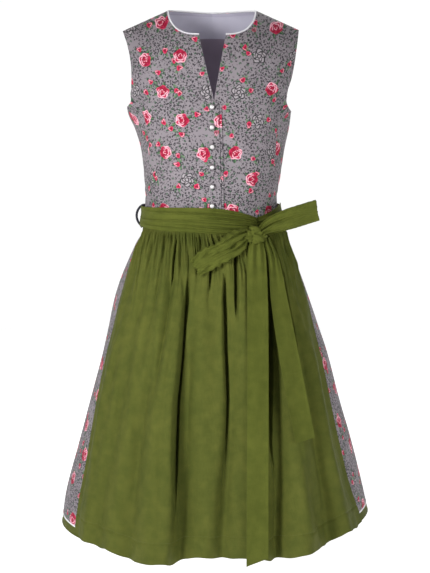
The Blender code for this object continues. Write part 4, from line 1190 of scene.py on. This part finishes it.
def turned(x, y, angle):
    sine, cosine = angle.sin(), angle.cos()
    return x * cosine + y * sine, y * cosine - x * sine


def not_(field):
    return field * -1.0 + 1.0


def polar(x, y):
    return (x * x + y * y).math("SQRT"), y.math("ARCTAN2", x)


def leaf(x, y, length, width):
    """1 inside a pointed leaf round the middle, along x."""
    rib = (x / length).abs()
    return ((rib * rib * -1.0 + 1.0) * width - y.abs()).over(0.0, 0.0004)


CHARCOAL = srgb(34, 32, 38)
GROUND = srgb(150, 143, 148)
GROUND_SHADE = srgb(131, 123, 129)
GROUND_BRIGHT = srgb(168, 161, 165)
CRIMSON = srgb(166, 14, 54)
ROSE = srgb(208, 44, 88)
WINE = srgb(78, 8, 30)
BLUSH = srgb(246, 178, 194)
LEAF_GREEN = srgb(48, 84, 58)
LEAF_LIGHT = srgb(98, 132, 92)
GREEN_TINT = (0.62, 0.74, 0.16)


def leaf_pair(x, y, slant, shift, size):
    """Two leaves that spread from a twig's tip, mirrored across x."""
    up = y.abs()
    return leaf(x * slant[0] + up * slant[1] - shift[0], up * slant[0] - x * slant[1] - shift[1], *size)


def foliage(c, colour):
    """Specks, pairs of leaves and sprigs that gather in drifts, some of them green."""
    drift = c.noise(c.u, c.v, 3.0, scale=24.0, detail=1.0) * 1.8 - 0.38
    x, y, chance = c.lattice(0.0040, 0.0036, 17.0, jitter=0.0028, lean=0.45)
    dark = polar(x, y)[0].under(0.00080, 0.0004) * (drift + chance[2] * 0.6).over(0.66, 0.03)
    for *cells, lean, least in ((0.0071, 0.0063, 19.0, -0.35, 0.62), (0.0083, 0.0075, 29.0, 1.1, 0.70)):
        x, y, chance = c.turned_lattice(*cells, jitter=0.0052, lean=lean)
        pair = leaf_pair(x, y, (0.82, 0.57), (0.0010, 0.0003), (0.0021, 0.00085))
        dark = dark.most(pair * (drift + chance[0] * 0.6).over(least, 0.03))
    colour = c.mix(dark * 0.93, colour, CHARCOAL)
    x, y, chance = c.turned_lattice(0.0125, 0.0112, 37.0, jitter=0.0080, lean=0.8)
    pair = leaf_pair(x, y, (0.80, 0.60), (0.0014, 0.0), (0.0030, 0.0011))
    return c.mix(pair * chance[1].over(0.42, 0.02) * 0.8, colour, LEAF_GREEN)


def outlined_flower(c, colour, r, turn, scallop, shown):
    edge = r - scallop * 0.0017
    line = (edge - 0.0122).abs().under(0.00095, 0.0004)
    inner = r - (turn * 5.0 + 1.6).cos() * 0.0013 - 0.0078
    line = line.most(inner.abs().under(0.0009, 0.0004))
    line = line.most((r - 0.0034).abs().under(0.0009, 0.0004))
    line = line.most(scallop.under(-0.90, 0.1) * r.over(0.0042, 0.001) * r.under(0.0110, 0.001))
    colour = c.mix(edge.under(0.0134, 0.0006) * shown * 0.9, colour, GROUND_BRIGHT)
    return c.mix(line * shown, colour, CHARCOAL)


def rose_leaves(c, colour, r, turn, chance, shown, count=6.0):
    part = ((turn / (2.0 * math.pi) * count).part() - 0.5) * (2.0 * math.pi / count)
    x, y = r * part.cos() - 0.0142, r * part.sin()
    green = leaf(x, y, 0.0058, 0.0029) * shown * (turn + chance * 9.0).cos().over(-0.45, 0.1)
    ink = y.abs().under(0.0003, 0.0003).most(not_(leaf(x, y, 0.0052, 0.0022)))
    halves = c.mix(y.over(0.0, 0.002), LEAF_GREEN, LEAF_LIGHT)
    return c.mix(green, colour, c.mix(ink * 0.75, halves, CHARCOAL))


def rose_petals(c, rim, turn, chance):
    """A rose's colours. rim is 0 in its middle and 1 at its edge."""
    light = (turn + chance * FULL_TURN).cos() * 0.5 + 0.5
    outer = (turn * 5.0 + 0.6).cos()
    middle = (turn * 3.0 + 2.1).cos()
    petal = c.mix((outer * 0.30 + rim * 0.9 + light * 0.35 - 0.30).over(0.60, 0.5), CRIMSON, ROSE)
    fringe = (rim - outer * 0.10).over(0.80, 0.10) * light.over(0.42, 0.3)
    fold = (rim - 0.58 + middle * 0.10).abs().under(0.085, 0.07) * light.over(0.30, 0.3)
    heart = (rim - 0.26 + (turn * 2.0).cos() * 0.09).abs().under(0.06, 0.06)
    petal = c.mix(fringe.most(fold).most(heart * not_(light).over(0.35, 0.4)), petal, BLUSH)
    groove = (rim - 0.76 - outer * 0.07).abs().under(0.035, 0.05)
    return c.mix(groove.most((rim - 0.42).abs().under(0.04, 0.05)) * 0.9, petal, WINE)


def buds(c, colour, free):
    """Buds with two leaves and a stem, on lattices of their own."""
    for *cells, lean, size in ((0.052, 0.044, 31.0, 0.2, 0.0056), (0.058, 0.050, 41.0, -0.5, 0.0047)):
        x, y, chance = c.turned_lattice(*cells, jitter=0.026, lean=lean)
        shown = chance[0].over(0.22, 0.02) * free
        along_leaf, up = x + 0.0058, y.abs() * -1.0 + 0.0050
        rib = up * 0.78 - along_leaf * 0.62
        green = leaf(along_leaf * 0.78 + up * 0.62, rib, 0.0056, 0.0024)
        green = green.most(leaf(x + 0.0085, y, 0.0060, 0.0007))
        green = green.most(leaf(x - 0.0075, y - 0.0022, 0.0040, 0.0016))
        green = green * not_(rib.abs().under(0.00035, 0.0003) * 0.7)
        halves = c.mix(up.over(0.0, 0.002), LEAF_LIGHT, LEAF_GREEN)
        colour = c.mix(green * shown * 0.95, colour, halves)
        r, turn = polar(x, y * 1.25)
        rim = r / size + (turn * 3.0 + chance[1] * FULL_TURN).cos() * 0.14
        petal = c.mix((rim - x * 70.0).over(0.55, 0.7), CRIMSON, ROSE)
        petal = c.mix((rim - 0.70).abs().under(0.12, 0.1) * x.over(0.0004, 0.002), petal, BLUSH)
        petal = c.mix((rim - 0.36).abs().under(0.08, 0.1), petal, WINE)
        colour = c.mix(rim.under(1.0, 0.10) * shown, colour, petal)
    return colour


def printed_cotton(name):
    """Grey cotton strewn with roses, buds, outlined flowers and small dark foliage."""
    c = Cloth(name, 0.66, sheen=0.03, specular=0.22)
    colour = c.mix(c.noise(c.u, c.v, scale=26.0, detail=3.0), GROUND_SHADE, GROUND)
    colour = foliage(c, colour)
    bend = [(c.noise(c.u, c.v, z, scale=120.0, detail=1.0) - 0.5) * 0.0040 for z in (1.0, 6.0)]
    c.u, c.v = c.u + bend[0], c.v + bend[1]

    # each large cell of one lattice holds a rose or an outlined flower
    x, y, chance = c.lattice(0.074, 0.058, 23.0, jitter=0.014)
    r, turn = polar(x, y)
    turn = turn + chance[2] * FULL_TURN
    scallop = (turn * 5.0).cos()
    is_rose = chance[0].over(0.34, 0.02)
    colour = outlined_flower(c, colour, r, turn, scallop, not_(is_rose))
    colour = rose_leaves(c, colour, r, turn, chance[1], is_rose)
    rim = (r - scallop * 0.0007) / 0.0122
    bloom = rim.under(1.0, 0.07) * is_rose
    colour = c.mix(bloom, colour, rose_petals(c, rim, turn, chance[1]))
    return c.finish(buds(c, colour, not_(bloom)), c.weave(0.0006), strength=0.2)


def green_cotton(name, deep, bright):
    """Plain woven cotton with slubs along and across it."""
    c = Cloth(name, 0.64, sheen=0.02, sheen_roughness=0.4, specular=0.10)
    fill(c.shader, dict.fromkeys(("Sheen Tint", "Specular Tint"), (*GREEN_TINT, 1.0)))
    across = c.noise(c.u * 40.0, c.v * 900.0)
    down = c.noise(c.u * 900.0, c.v * 40.0, 4.0)
    tone = (across + down) * 0.26 + c.body_noise(9.0) * 0.40 + c.body_noise(55.0, 3.0) * 0.55 - 0.24
    height = c.weave(0.0005) * 0.5 + across * 0.9 + down * 0.6
    return c.finish(c.mix(tone.over(0.5, 0.50), deep, bright), height, distance=0.00028, strength=0.45)


def lining_cotton(name, low, high, facing_end=None, below=None):
    """Smooth lining. With a facing, darker below its edge: partly darker cloth, partly painted shade."""
    c = Cloth(name, 0.75, sheen=0.03, specular=0.2)
    tone = c.noise(c.u * 25.0, c.v * 25.0)
    colour = c.mix(tone, low, high)
    if below is not None:
        across, _, level = c.fields("SeparateXYZ", {"Vector": c.body_place()})
        edge = level - facing_end + across * across * 0.9
        # below the facing's edge: a darker cloth, with painted shade of the hollow behind the back slit
        lower = c.mix(tone, below, tuple(1.25 * value for value in below))
        colour = c.mix(edge.over(0.0, 0.0008), lower, colour)
        colour = c.mix(edge.abs().under(0.0007, 0.0006) * 0.6, colour, below)
    return c.finish(colour, c.weave(0.0006), strength=0.2)


def picot(name):
    """White cotton edging with twisted threads."""
    c = Cloth(name, 0.8, sheen=0.15)
    twist = ((c.u + c.v * 0.6) * (2.0 * math.pi / 0.0016)).sin()
    tone = (twist * 0.5 + 0.5) * 0.6 + c.body_noise(220.0) * 0.4
    return c.finish(c.mix(tone, srgb(232, 230, 236), srgb(255, 255, 255)), twist, strength=0.4)


def button_metal(name):
    """Antique silver: bright relief, dark hollows, and painted shade darkening the dome's sides."""
    c = Cloth(name, 0.30, metallic=0.55, specular=0.8)
    depth = Field(c.tree, add_node(c.tree, "Attribute", attribute_name="relief").outputs["Fac"])
    worn = c.body_noise(900.0)
    colour = c.mix(depth.over(0.42, 0.6), srgb(150, 144, 146), srgb(250, 248, 248))
    return c.finish(colour, worn, distance=0.0001, strength=0.3, Roughness=worn * 0.2 + 0.24)


def dark_cord(name):
    c = Cloth(name, 0.7, sheen=0.1)
    twist = (c.u * (2.0 * math.pi / 0.0012) + c.v * 900.0).sin()
    return c.finish(c.mix(twist * 0.5 + 0.5, srgb(12, 12, 22), srgb(44, 44, 62)), twist, strength=0.5)


def thread(name, low, high):
    c = Cloth(name, 0.55, sheen=0.1)
    return c.finish(c.mix(c.body_noise(700.0), low, high))


PRINT = printed_cotton("printed_cotton_cloth")
INSIDE = lining_cotton("bodice_inside", srgb(178, 174, 190), srgb(202, 198, 214))
# its last colour, below the facing, is partly the lining's own and partly painted shade
LINING = lining_cotton(
    "back_lining_cotton", srgb(190, 188, 203), srgb(210, 207, 222), -0.052, srgb(148, 136, 150)
)
GREEN = green_cotton("green_cotton_cloth", (0.069, 0.0830, 0.0180), (0.111, 0.1205, 0.0262))
GREEN_BAND = green_cotton("green_sash_cloth", (0.075, 0.089, 0.0170), (0.109, 0.124, 0.0240))
WHITE = picot("white_picot")
METAL = button_metal("antique_silver")
DARK = dark_cord("dark_cord")
GREEN_THREAD = thread("green_thread", srgb(70, 84, 30), srgb(104, 118, 52))
GREY_THREAD = thread("grey_thread", srgb(36, 30, 36), srgb(60, 52, 60))


# Pieces ------------------------------------------------------------------------------------------
def wear(piece, node):
    """Fixes a piece to the dress. One without a node is thread that the solids don't have."""
    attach(piece, "root")
    if node:
        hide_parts(node)


def cloth(name, node, slot, grids, materials, flat, held, rests_on, area=None, uv=None):
    """A cloth piece between two grids. The flat size of its cut is not used."""
    piece = shell(name, *grids, materials, uv)
    wear(piece, node)


def faces_of(form, wall):
    """The outer and the inner face of a form."""
    return form(0.0), form(-wall)


def build_bodice():
    """The fronts, the sides, the back and its lining. Returns the fronts' outer faces."""
    fronts = {}
    for side, word in SIDE_WORDS.items():
        grids = faces_of(lambda out: front_grid(side, out), BODICE_WALL)
        uv = level_uv(grids[0], side, grids[0][:, :1, 0] + (0.31 if side < 0 else 0.77))
        cloth(f"front_{word}_cloth", f"bodice_front_{word}", "printed_cotton", grids, [PRINT, INSIDE],
              (0.21, 0.43), "stretched", ["back_cloth"], 0.052, uv)
        fronts[side] = grids[0]
        grids = faces_of(lambda out: side_grid(side, out), BODICE_WALL)
        cloth(f"side_{word}_cloth", f"bodice_side_{word}", "printed_cotton", grids, [PRINT, INSIDE],
              (0.14, 0.27), "stretched", ["back_cloth"], 0.024, level_uv(grids[0], side, 2.1 + side))
    grids = faces_of(lambda out: back_grid(out, 0.5 * SEAM_GAP), BODICE_WALL)
    uv = level_uv(grids[0], 1, grids[0][:, :1, 0] + 5.3)
    cloth("back_cloth", "bodice_back", "printed_cotton", grids, [PRINT, INSIDE],
          (0.36, 0.43), "stretched", ["front_left_cloth", "front_right_cloth"], 0.13, uv)
    gap = 2 * SEAM_GAP
    face = -BODICE_CAD_WALL - gap
    grids = faces_of(lambda out: back_grid(face + out, gap, LINING_TOP_STEP, WAIST_Z + gap), LINING_WALL)
    cloth("back_lining_cloth", "back_lining", "lining", grids, [LINING],
          (0.36, 0.43), "stretched", ["back_cloth"], 0.12)
    return fronts


def neck_picot(word, edge, inside, ends, end_y):
    """A scalloped cord that lies just off a neck edge, on the side away from the cloth inside.

    Where ends has a direction, the cord ends square to the shoulder line and close to it.
    """
    run = unit(np.gradient(edge, axis=0))
    away = edge - inside
    away -= run * (away * run).sum(axis=-1, keepdims=True)
    line = edge + unit(away) * (PICOT_CLEAR + 3 * SEAM_GAP)
    for i, end in zip((0, -1), ends):
        if end is not None:
            line[i, 1] = end_y
    length = lengths(line)
    at = np.append(np.arange(0, length[-1], PICOT_PITCH / 6), length[-1])
    radius = mix(*PICOT_RADII, np.abs(np.sin(np.pi * at / PICOT_PITCH)) ** 0.7)
    piece = tube(f"neck_picot_{word}", along(line, length, at), radius, WHITE, ends=ends)
    wear(piece, f"neck_trim_{word}")


def build_trims():
    middle = -0.5 * BODICE_CAD_WALL
    for side, word in SIDE_WORDS.items():
        grid = front_grid(side, middle)[SLIT_TOP_STEP * FRONT_ROWS :]
        neck_picot(word, grid[:, 0], grid[:, 6], (None, (0, 1, 0)), -SEAM_GAP)
    grid = back_grid(middle, 0.0)[:, BACK_SHOULDER_COLUMNS:-BACK_SHOULDER_COLUMNS]
    neck_picot("back", grid[-1], grid[-4], ((0, 1, 0), (0, -1, 0)), SEAM_GAP)


def button_relief(tilt, turn):
    """A rosette and a beaded rim: how far they stand up by the tilt from the button's middle."""
    flower = np.cos(8 * turn) * bump((tilt - 0.72) / 0.22)
    beads = np.cos(20 * turn) * bump((tilt - 1.28) / 0.10)
    groove = bump((tilt - 1.05) / 0.06) + bump((tilt - 0.34) / 0.06)
    return 0.035 * flower + 0.030 * beads - 0.045 * groove + 0.05 * bump(tilt / 0.20)


def build_buttons(columns=64, rows=44):
    """Round silver buttons with their relief."""
    tilt = np.radians(np.linspace(0, 150, rows + 1))[1:, None]
    turn = np.radians(np.linspace(0, 360, columns, endpoint=False))[None, :]
    relief = button_relief(tilt, turn)
    # tone: bright relief and dark hollows, plus painted shade that darkens the dome away from its top
    tone = np.clip(0.62 + relief * 9.0 - 0.55 * ease((tilt - 0.62) / 0.40), 0, 1).ravel()
    size = BUTTON_RADIUS * (1.08 + relief)
    level = np.sin(tilt)
    dome = level * np.cos(turn), level * np.sin(turn), BUTTON_FLATNESS * np.cos(tilt)
    at = numbers(rows, columns)
    faces = [*ring_faces(at, flip=True), *fan(at.size, at[0]), at[-1, ::-1].tolist()]
    for index, z in enumerate(BUTTON_LEVELS, start=1):
        base = torso_point(BUTTON_X, z, True, float(lap(BUTTON_X)) + SEAM_GAP)
        out = torso_normal(*torso_point(BUTTON_X, z, True, 0.0), True)
        side = unit(np.cross(out, (0, 0, 1)))
        centre = base + out * BUTTON_RADIUS * 0.85
        ways = (side, np.cross(side, out), out)
        points = combine(centre, ways, [size * share for share in dome]).reshape(-1, 3)
        points = np.vstack([points, centre + out * BUTTON_RADIUS * BUTTON_FLATNESS * 1.01])
        piece = mesh_piece(f"silver_button_{index}", points, faces, [METAL], points[:, [0, 2]])
        # the relief attribute carries the tone, its painted shade included
        layer = piece.data.attributes.new("relief", "FLOAT", "POINT")
        layer.data.foreach_set("value", np.append(tone, 1.0).astype(np.float32))
        wear(piece, f"button_{index}")


def build_skirt():
    """The two skirt panels, each with the piping and the band at its hem."""
    front_rests = ["front_left_cloth", "front_right_cloth"]
    back_rests = ["back_cloth", "side_left_cloth", "side_right_cloth"]
    levels = mix(SKIRT_TOP_Z, PRINT_END_Z, np.linspace(0, 1, 97) ** 1.15)
    for word, columns, start, sheet, hem_width in (
        ("front", 280, 0.0, ((0.78, 0.56), "hung", front_rests, 0.30), 0.78),
        ("back", 390, 1.37, ((0.95, 0.56), "gathered", back_rests, 0.45), 1.20),
    ):
        back = word == "back"
        grids = faces_of(lambda out: skirt_grid(levels, out, back, columns), SKIRT_WALL)
        uv = arc_uv(grids[0])
        uv[..., 0] = mix(uv[-1:, :, 0], uv[..., 0], 0.35) + start
        cloth(f"skirt_{word}_cloth", f"skirt_{word}", "printed_cotton", grids, [PRINT], *sheet, uv)
        build_hem(word, back, columns, hem_width)


def build_hem(word, back, columns, width):
    """The scalloped piping below the print, and the green band below that."""
    top = PRINT_END_Z - SEAM_GAP
    foot = top - PIPING_DROP
    turn = np.linspace(0, 1, 7)
    rows = mix(top, foot, turn)
    scallops = np.abs(np.sin(np.pi * np.arange(columns * 3 + 1) / 3.0)) ** 0.7
    bulge = PIPING_BULGE * np.sin(np.pi * turn)[:, None] * (0.4 + 0.6 * scallops)
    grids = [skirt_grid(rows, out, back, columns * 3) for out in (0.0002 + bulge, -PIPING_WALL)]
    wear(shell(f"hem_picot_{word}", *grids, [WHITE]), f"hem_piping_{word}")
    top = foot - SEAM_GAP
    foot = top - HEM_BAND_DROP
    rows = mix(top, foot, np.linspace(0, 1, 13))
    turned_in = 0.0005 * bump((rows - foot) / 0.0016)[:, None]
    grids = [skirt_grid(rows, out, back, columns) for out in (turned_in, -SKIRT_WALL - turned_in)]
    cloth(f"hem_band_{word}_cloth", f"hem_band_{word}", "green_cotton", grids, [GREEN],
          (width, 0.015), "hung", [f"hem_picot_{word}"])


def build_apron():
    """The gathered apron. Returns its outer face."""
    z, u = apron_places()
    grids = faces_of(lambda out: apron_grid(out, z, u), APRON_WALL)
    width = 0.84
    uv = arc_uv(grids[0])
    uv[..., 0] = 0.3 * uv[..., 0] + 0.7 * width * u
    cloth("apron_cloth", "apron_panel", "green_cotton", grids, [GREEN],
          (width, 0.575), "gathered", ["apron_waistband_cloth"], uv=uv)
    return grids[0]


def build_sash():
    """The apron's waistband and the ties that go round over it."""
    front = (-BAND_END_DEG, BAND_END_DEG)
    behind = (BAND_END_DEG + 0.17, 360 - BAND_END_DEG - 0.17)

    def level(z):
        return lambda u: z + 0 * u

    def band_top(u):
        return BAND_TOP_Z - 0.0130 * bump((mix(*front, u) - 37.0) / 26.0)

    def left_top(u):
        return -0.3640 + 0.0062 * ease(u / 0.62) - 0.0200 * (np.maximum(u - 0.66, 0) / 0.34) ** 2

    def left_foot(u):
        return -0.4000 - 0.0020 * ease(u / 0.45) - 0.0070 * ease((u - 0.55) / 0.30)

    def right_top(u):
        return -0.3600 - 0.0180 * np.maximum(u - 0.3, 0) / 0.7

    def right_foot(u):
        return mix(-0.4010, -0.4100, ease(u))

    def flat_crease(u, v):
        return 0.0004 * np.sin(9 * u + 4 * v)

    under = LAYER_ONE, flat_crease
    for node, ends, top, foot, layer, crease, columns, *flat in (
        ("apron_waistband", front, band_top, lambda u: band_foot(mix(*front, u)), *under, 120, 0.43, 0.042),
        ("tie_back_under", behind, level(BAND_TOP_Z), level(BAND_FOOT_Z), *under, 110, 0.40, 0.043),
        ("tie_back_over", behind, level(BAND_TOP_Z + 0.002), level(BAND_FOOT_Z + 0.002),
         LAYER_TWO, back_crease, 160, 0.41, 0.043),
        ("tie_front_left", (-BAND_END_DEG, 36.0), left_top, left_foot,
         LAYER_TWO, left_crease, 220, 0.31, 0.044),
        ("tie_front_right", (BAND_END_DEG, 38.0), right_top, right_foot,
         LAYER_TWO, right_crease, 120, 0.10, 0.044),
    ):
        grids = [sash_grid(ends, top, foot, out, crease, columns) for out in (layer + BAND_WALL, layer)]
        held = "gathered" if "front" in node else "stretched"
        cloth(f"{node}_cloth", node, "green_cotton", grids, [GREEN_BAND], tuple(flat), held, ["back_cloth"])


def build_bow():
    points, tips = knot_points()
    rows, columns = points.shape[:2]
    at = numbers(rows, columns)
    faces = ring_faces(at) + fan(at.size, at[0], flip=True) + fan(at.size + 1, at[-1])
    points = np.vstack([points.reshape(-1, 3), tips])
    piece = mesh_piece("knot_cloth", points, faces, [GREEN_BAND], points[:, [0, 2]])
    wear(piece, "bow_knot")
    for word, stations, seed, crumple in (
        ("right", RIGHT_LOOP, 1.0, 0.0004),
        ("left", LEFT_LOOP, 2.3, 0.0022),
    ):
        grids = [loop_grid(stations, sign, seed, crumple) for sign in (1, -1)]
        cloth(f"bow_loop_{word}_cloth", f"bow_loop_{word}", "green_cotton", grids, [GREEN_BAND],
              (0.041, 0.23), "folded", ["knot_cloth"])
    for word, path, ends, stand, rows, drop in (
        ("long", LONG_TAIL, LONG_TAIL_END, 0.0008, 200, 0.585),
        ("short", SHORT_TAIL, SHORT_TAIL_END, 0.0034, 130, 0.37),
    ):
        grids = [tail_grid(path, ends, out, stand, rows) for out in (TIE_WALL, 0.0)]
        cloth(f"bow_tail_{word}_cloth", f"bow_tail_{word}", "green_cotton", grids, [GREEN_BAND],
              (0.040, drop), "hung", ["knot_cloth"])


def build_belt_loops():
    for word, angle, stand, top, foot, radius in (
        ("left", -91.0, 0.0150, -0.3630, -0.4030, 0.0023),
        ("right", 97.0, 0.0080, -0.3690, -0.4170, 0.0013),
    ):
        share = np.linspace(0, 1, 61)
        out = mix(0.0014, stand, np.sin(np.pi * share) ** 0.5)
        line = waist_point(angle + 0 * share, mix(top, foot, share), out)
        wear(tube(f"cord_loop_{word}", line, radius, DARK), f"belt_loop_{word}")


def seam_line(grid, place):
    """Points of a grid's row or column, and the directions that face away from the dress there."""
    normal = unit(np.cross(np.gradient(grid, axis=0), np.gradient(grid, axis=1)))
    away = normal[..., :2] * grid[..., :2]
    normal = normal * np.sign(away.sum(axis=-1) + 1e-9)[..., None]
    return grid[place], normal[place]


def build_stitches(front, apron):
    """Threads of the placket and of the apron's hem."""
    column = 2
    line, out = seam_line(front, (front[:, column, 2] < PLACKET_TOP_Z, column))
    wear(stitches("placket_stitching", line + out * 0.0004, out, GREY_THREAD, 0.0042, 0.0037, 0.00095),
         None)
    middle = apron[:, apron.shape[1] // 2, 2]
    row = int(np.argmin(np.abs(middle - APRON_SEAM_Z)))
    line, out = seam_line(apron, (row, slice(4, -4)))
    wear(stitches("apron_hem_stitching", line + out * 0.0001, out, GREEN_THREAD), None)


# Floor, light and camera -------------------------------------------------------------------------
FLOOR_Z = -1.25
FLOOR_HALF = 3.4
CAMERA_PLACE = (0.005683, -2.9, -0.05)
CAMERA_TILT = 0.160803  # radians below the level
FOCAL_PIXELS = 1531.0
PHOTO_HEIGHT_PIXELS = 573.0
SENSOR_HEIGHT = 36.0


def build_floor():
    c = Cloth("pale_floor", 0.9, specular=0.1)
    c.finish(c.mix(c.body_noise(1.4), (0.90,) * 3, (0.93,) * 3))
    fill(c.shader, {"Emission Color": (1.0, 1.0, 1.0, 1.0), "Emission Strength": 0.62})
    corners = ((-1, -1), (1, -1), (1, 1), (-1, 1))
    points = np.array([(x * FLOOR_HALF, y * FLOOR_HALF, FLOOR_Z) for x, y in corners])
    mesh_piece("studio_floor", points, [[0, 1, 2, 3]], [c.material])


def add_object(name, data, place):
    """Puts a light or a camera into the scene."""
    item = bpy.data.objects.new(name, data)
    item.location = place
    bpy.context.scene.collection.objects.link(item)
    return item


def area_light(name, place, target, size, power, spread):
    lamp = bpy.data.lights.new(name, "AREA")
    lamp.shape = "RECTANGLE"
    lamp.size, lamp.size_y = size
    lamp.energy = power
    lamp.spread = spread
    item = add_object(name, lamp, place)
    item.rotation_euler = (Vector(target) - Vector(place)).to_track_quat("-Z", "Y").to_euler()


def build_light():
    """Soft boxes in front to both sides and one behind, and a white glow behind the dress."""
    world = bpy.data.worlds.new("studio_air")
    bpy.context.scene.world = world
    world.use_nodes = True
    tree = world.node_tree
    place = add_node(tree, "TexCoord").outputs["Generated"]
    behind = add_node(tree, "SeparateXYZ", {"Vector": place}).outputs["Y"]
    glow = Field(tree, behind).over(0.72, 0.40) * 0.86 + 0.16
    fill(tree.nodes["Background"], {"Color": (1.0, 1.0, 1.0, 1.0), "Strength": glow})
    area_light("key", (-1.40, -1.85, 0.10), (0, 0, -0.50), (0.5, 0.8), 11.7, math.pi / 2)
    area_light("fill", (1.50, -1.90, -0.10), (0, 0, -0.50), (0.9, 1.2), 6.0, math.pi / 2)
    area_light("rear", (0.6, 2.8, 1.4), (0, 0, -0.4), (2.4, 1.6), 40, math.pi)
    bpy.context.scene.view_settings.view_transform = "Standard"


def build_camera():
    lens = bpy.data.cameras.new("camera")
    lens.sensor_fit = "VERTICAL"
    lens.sensor_height = SENSOR_HEIGHT
    lens.lens = FOCAL_PIXELS * SENSOR_HEIGHT / PHOTO_HEIGHT_PIXELS
    lens.clip_start = 0.05
    item = add_object("camera", lens, CAMERA_PLACE)
    item.rotation_euler = (math.pi / 2 - CAMERA_TILT, 0.0, 0.0)
    bpy.context.scene.camera = item


build_camera()
fronts = build_bodice()
build_trims()
build_buttons()
build_skirt()
apron = build_apron()
build_stitches(fronts[-1], apron)
build_sash()
build_bow()
build_belt_loops()
build_floor()
build_light()
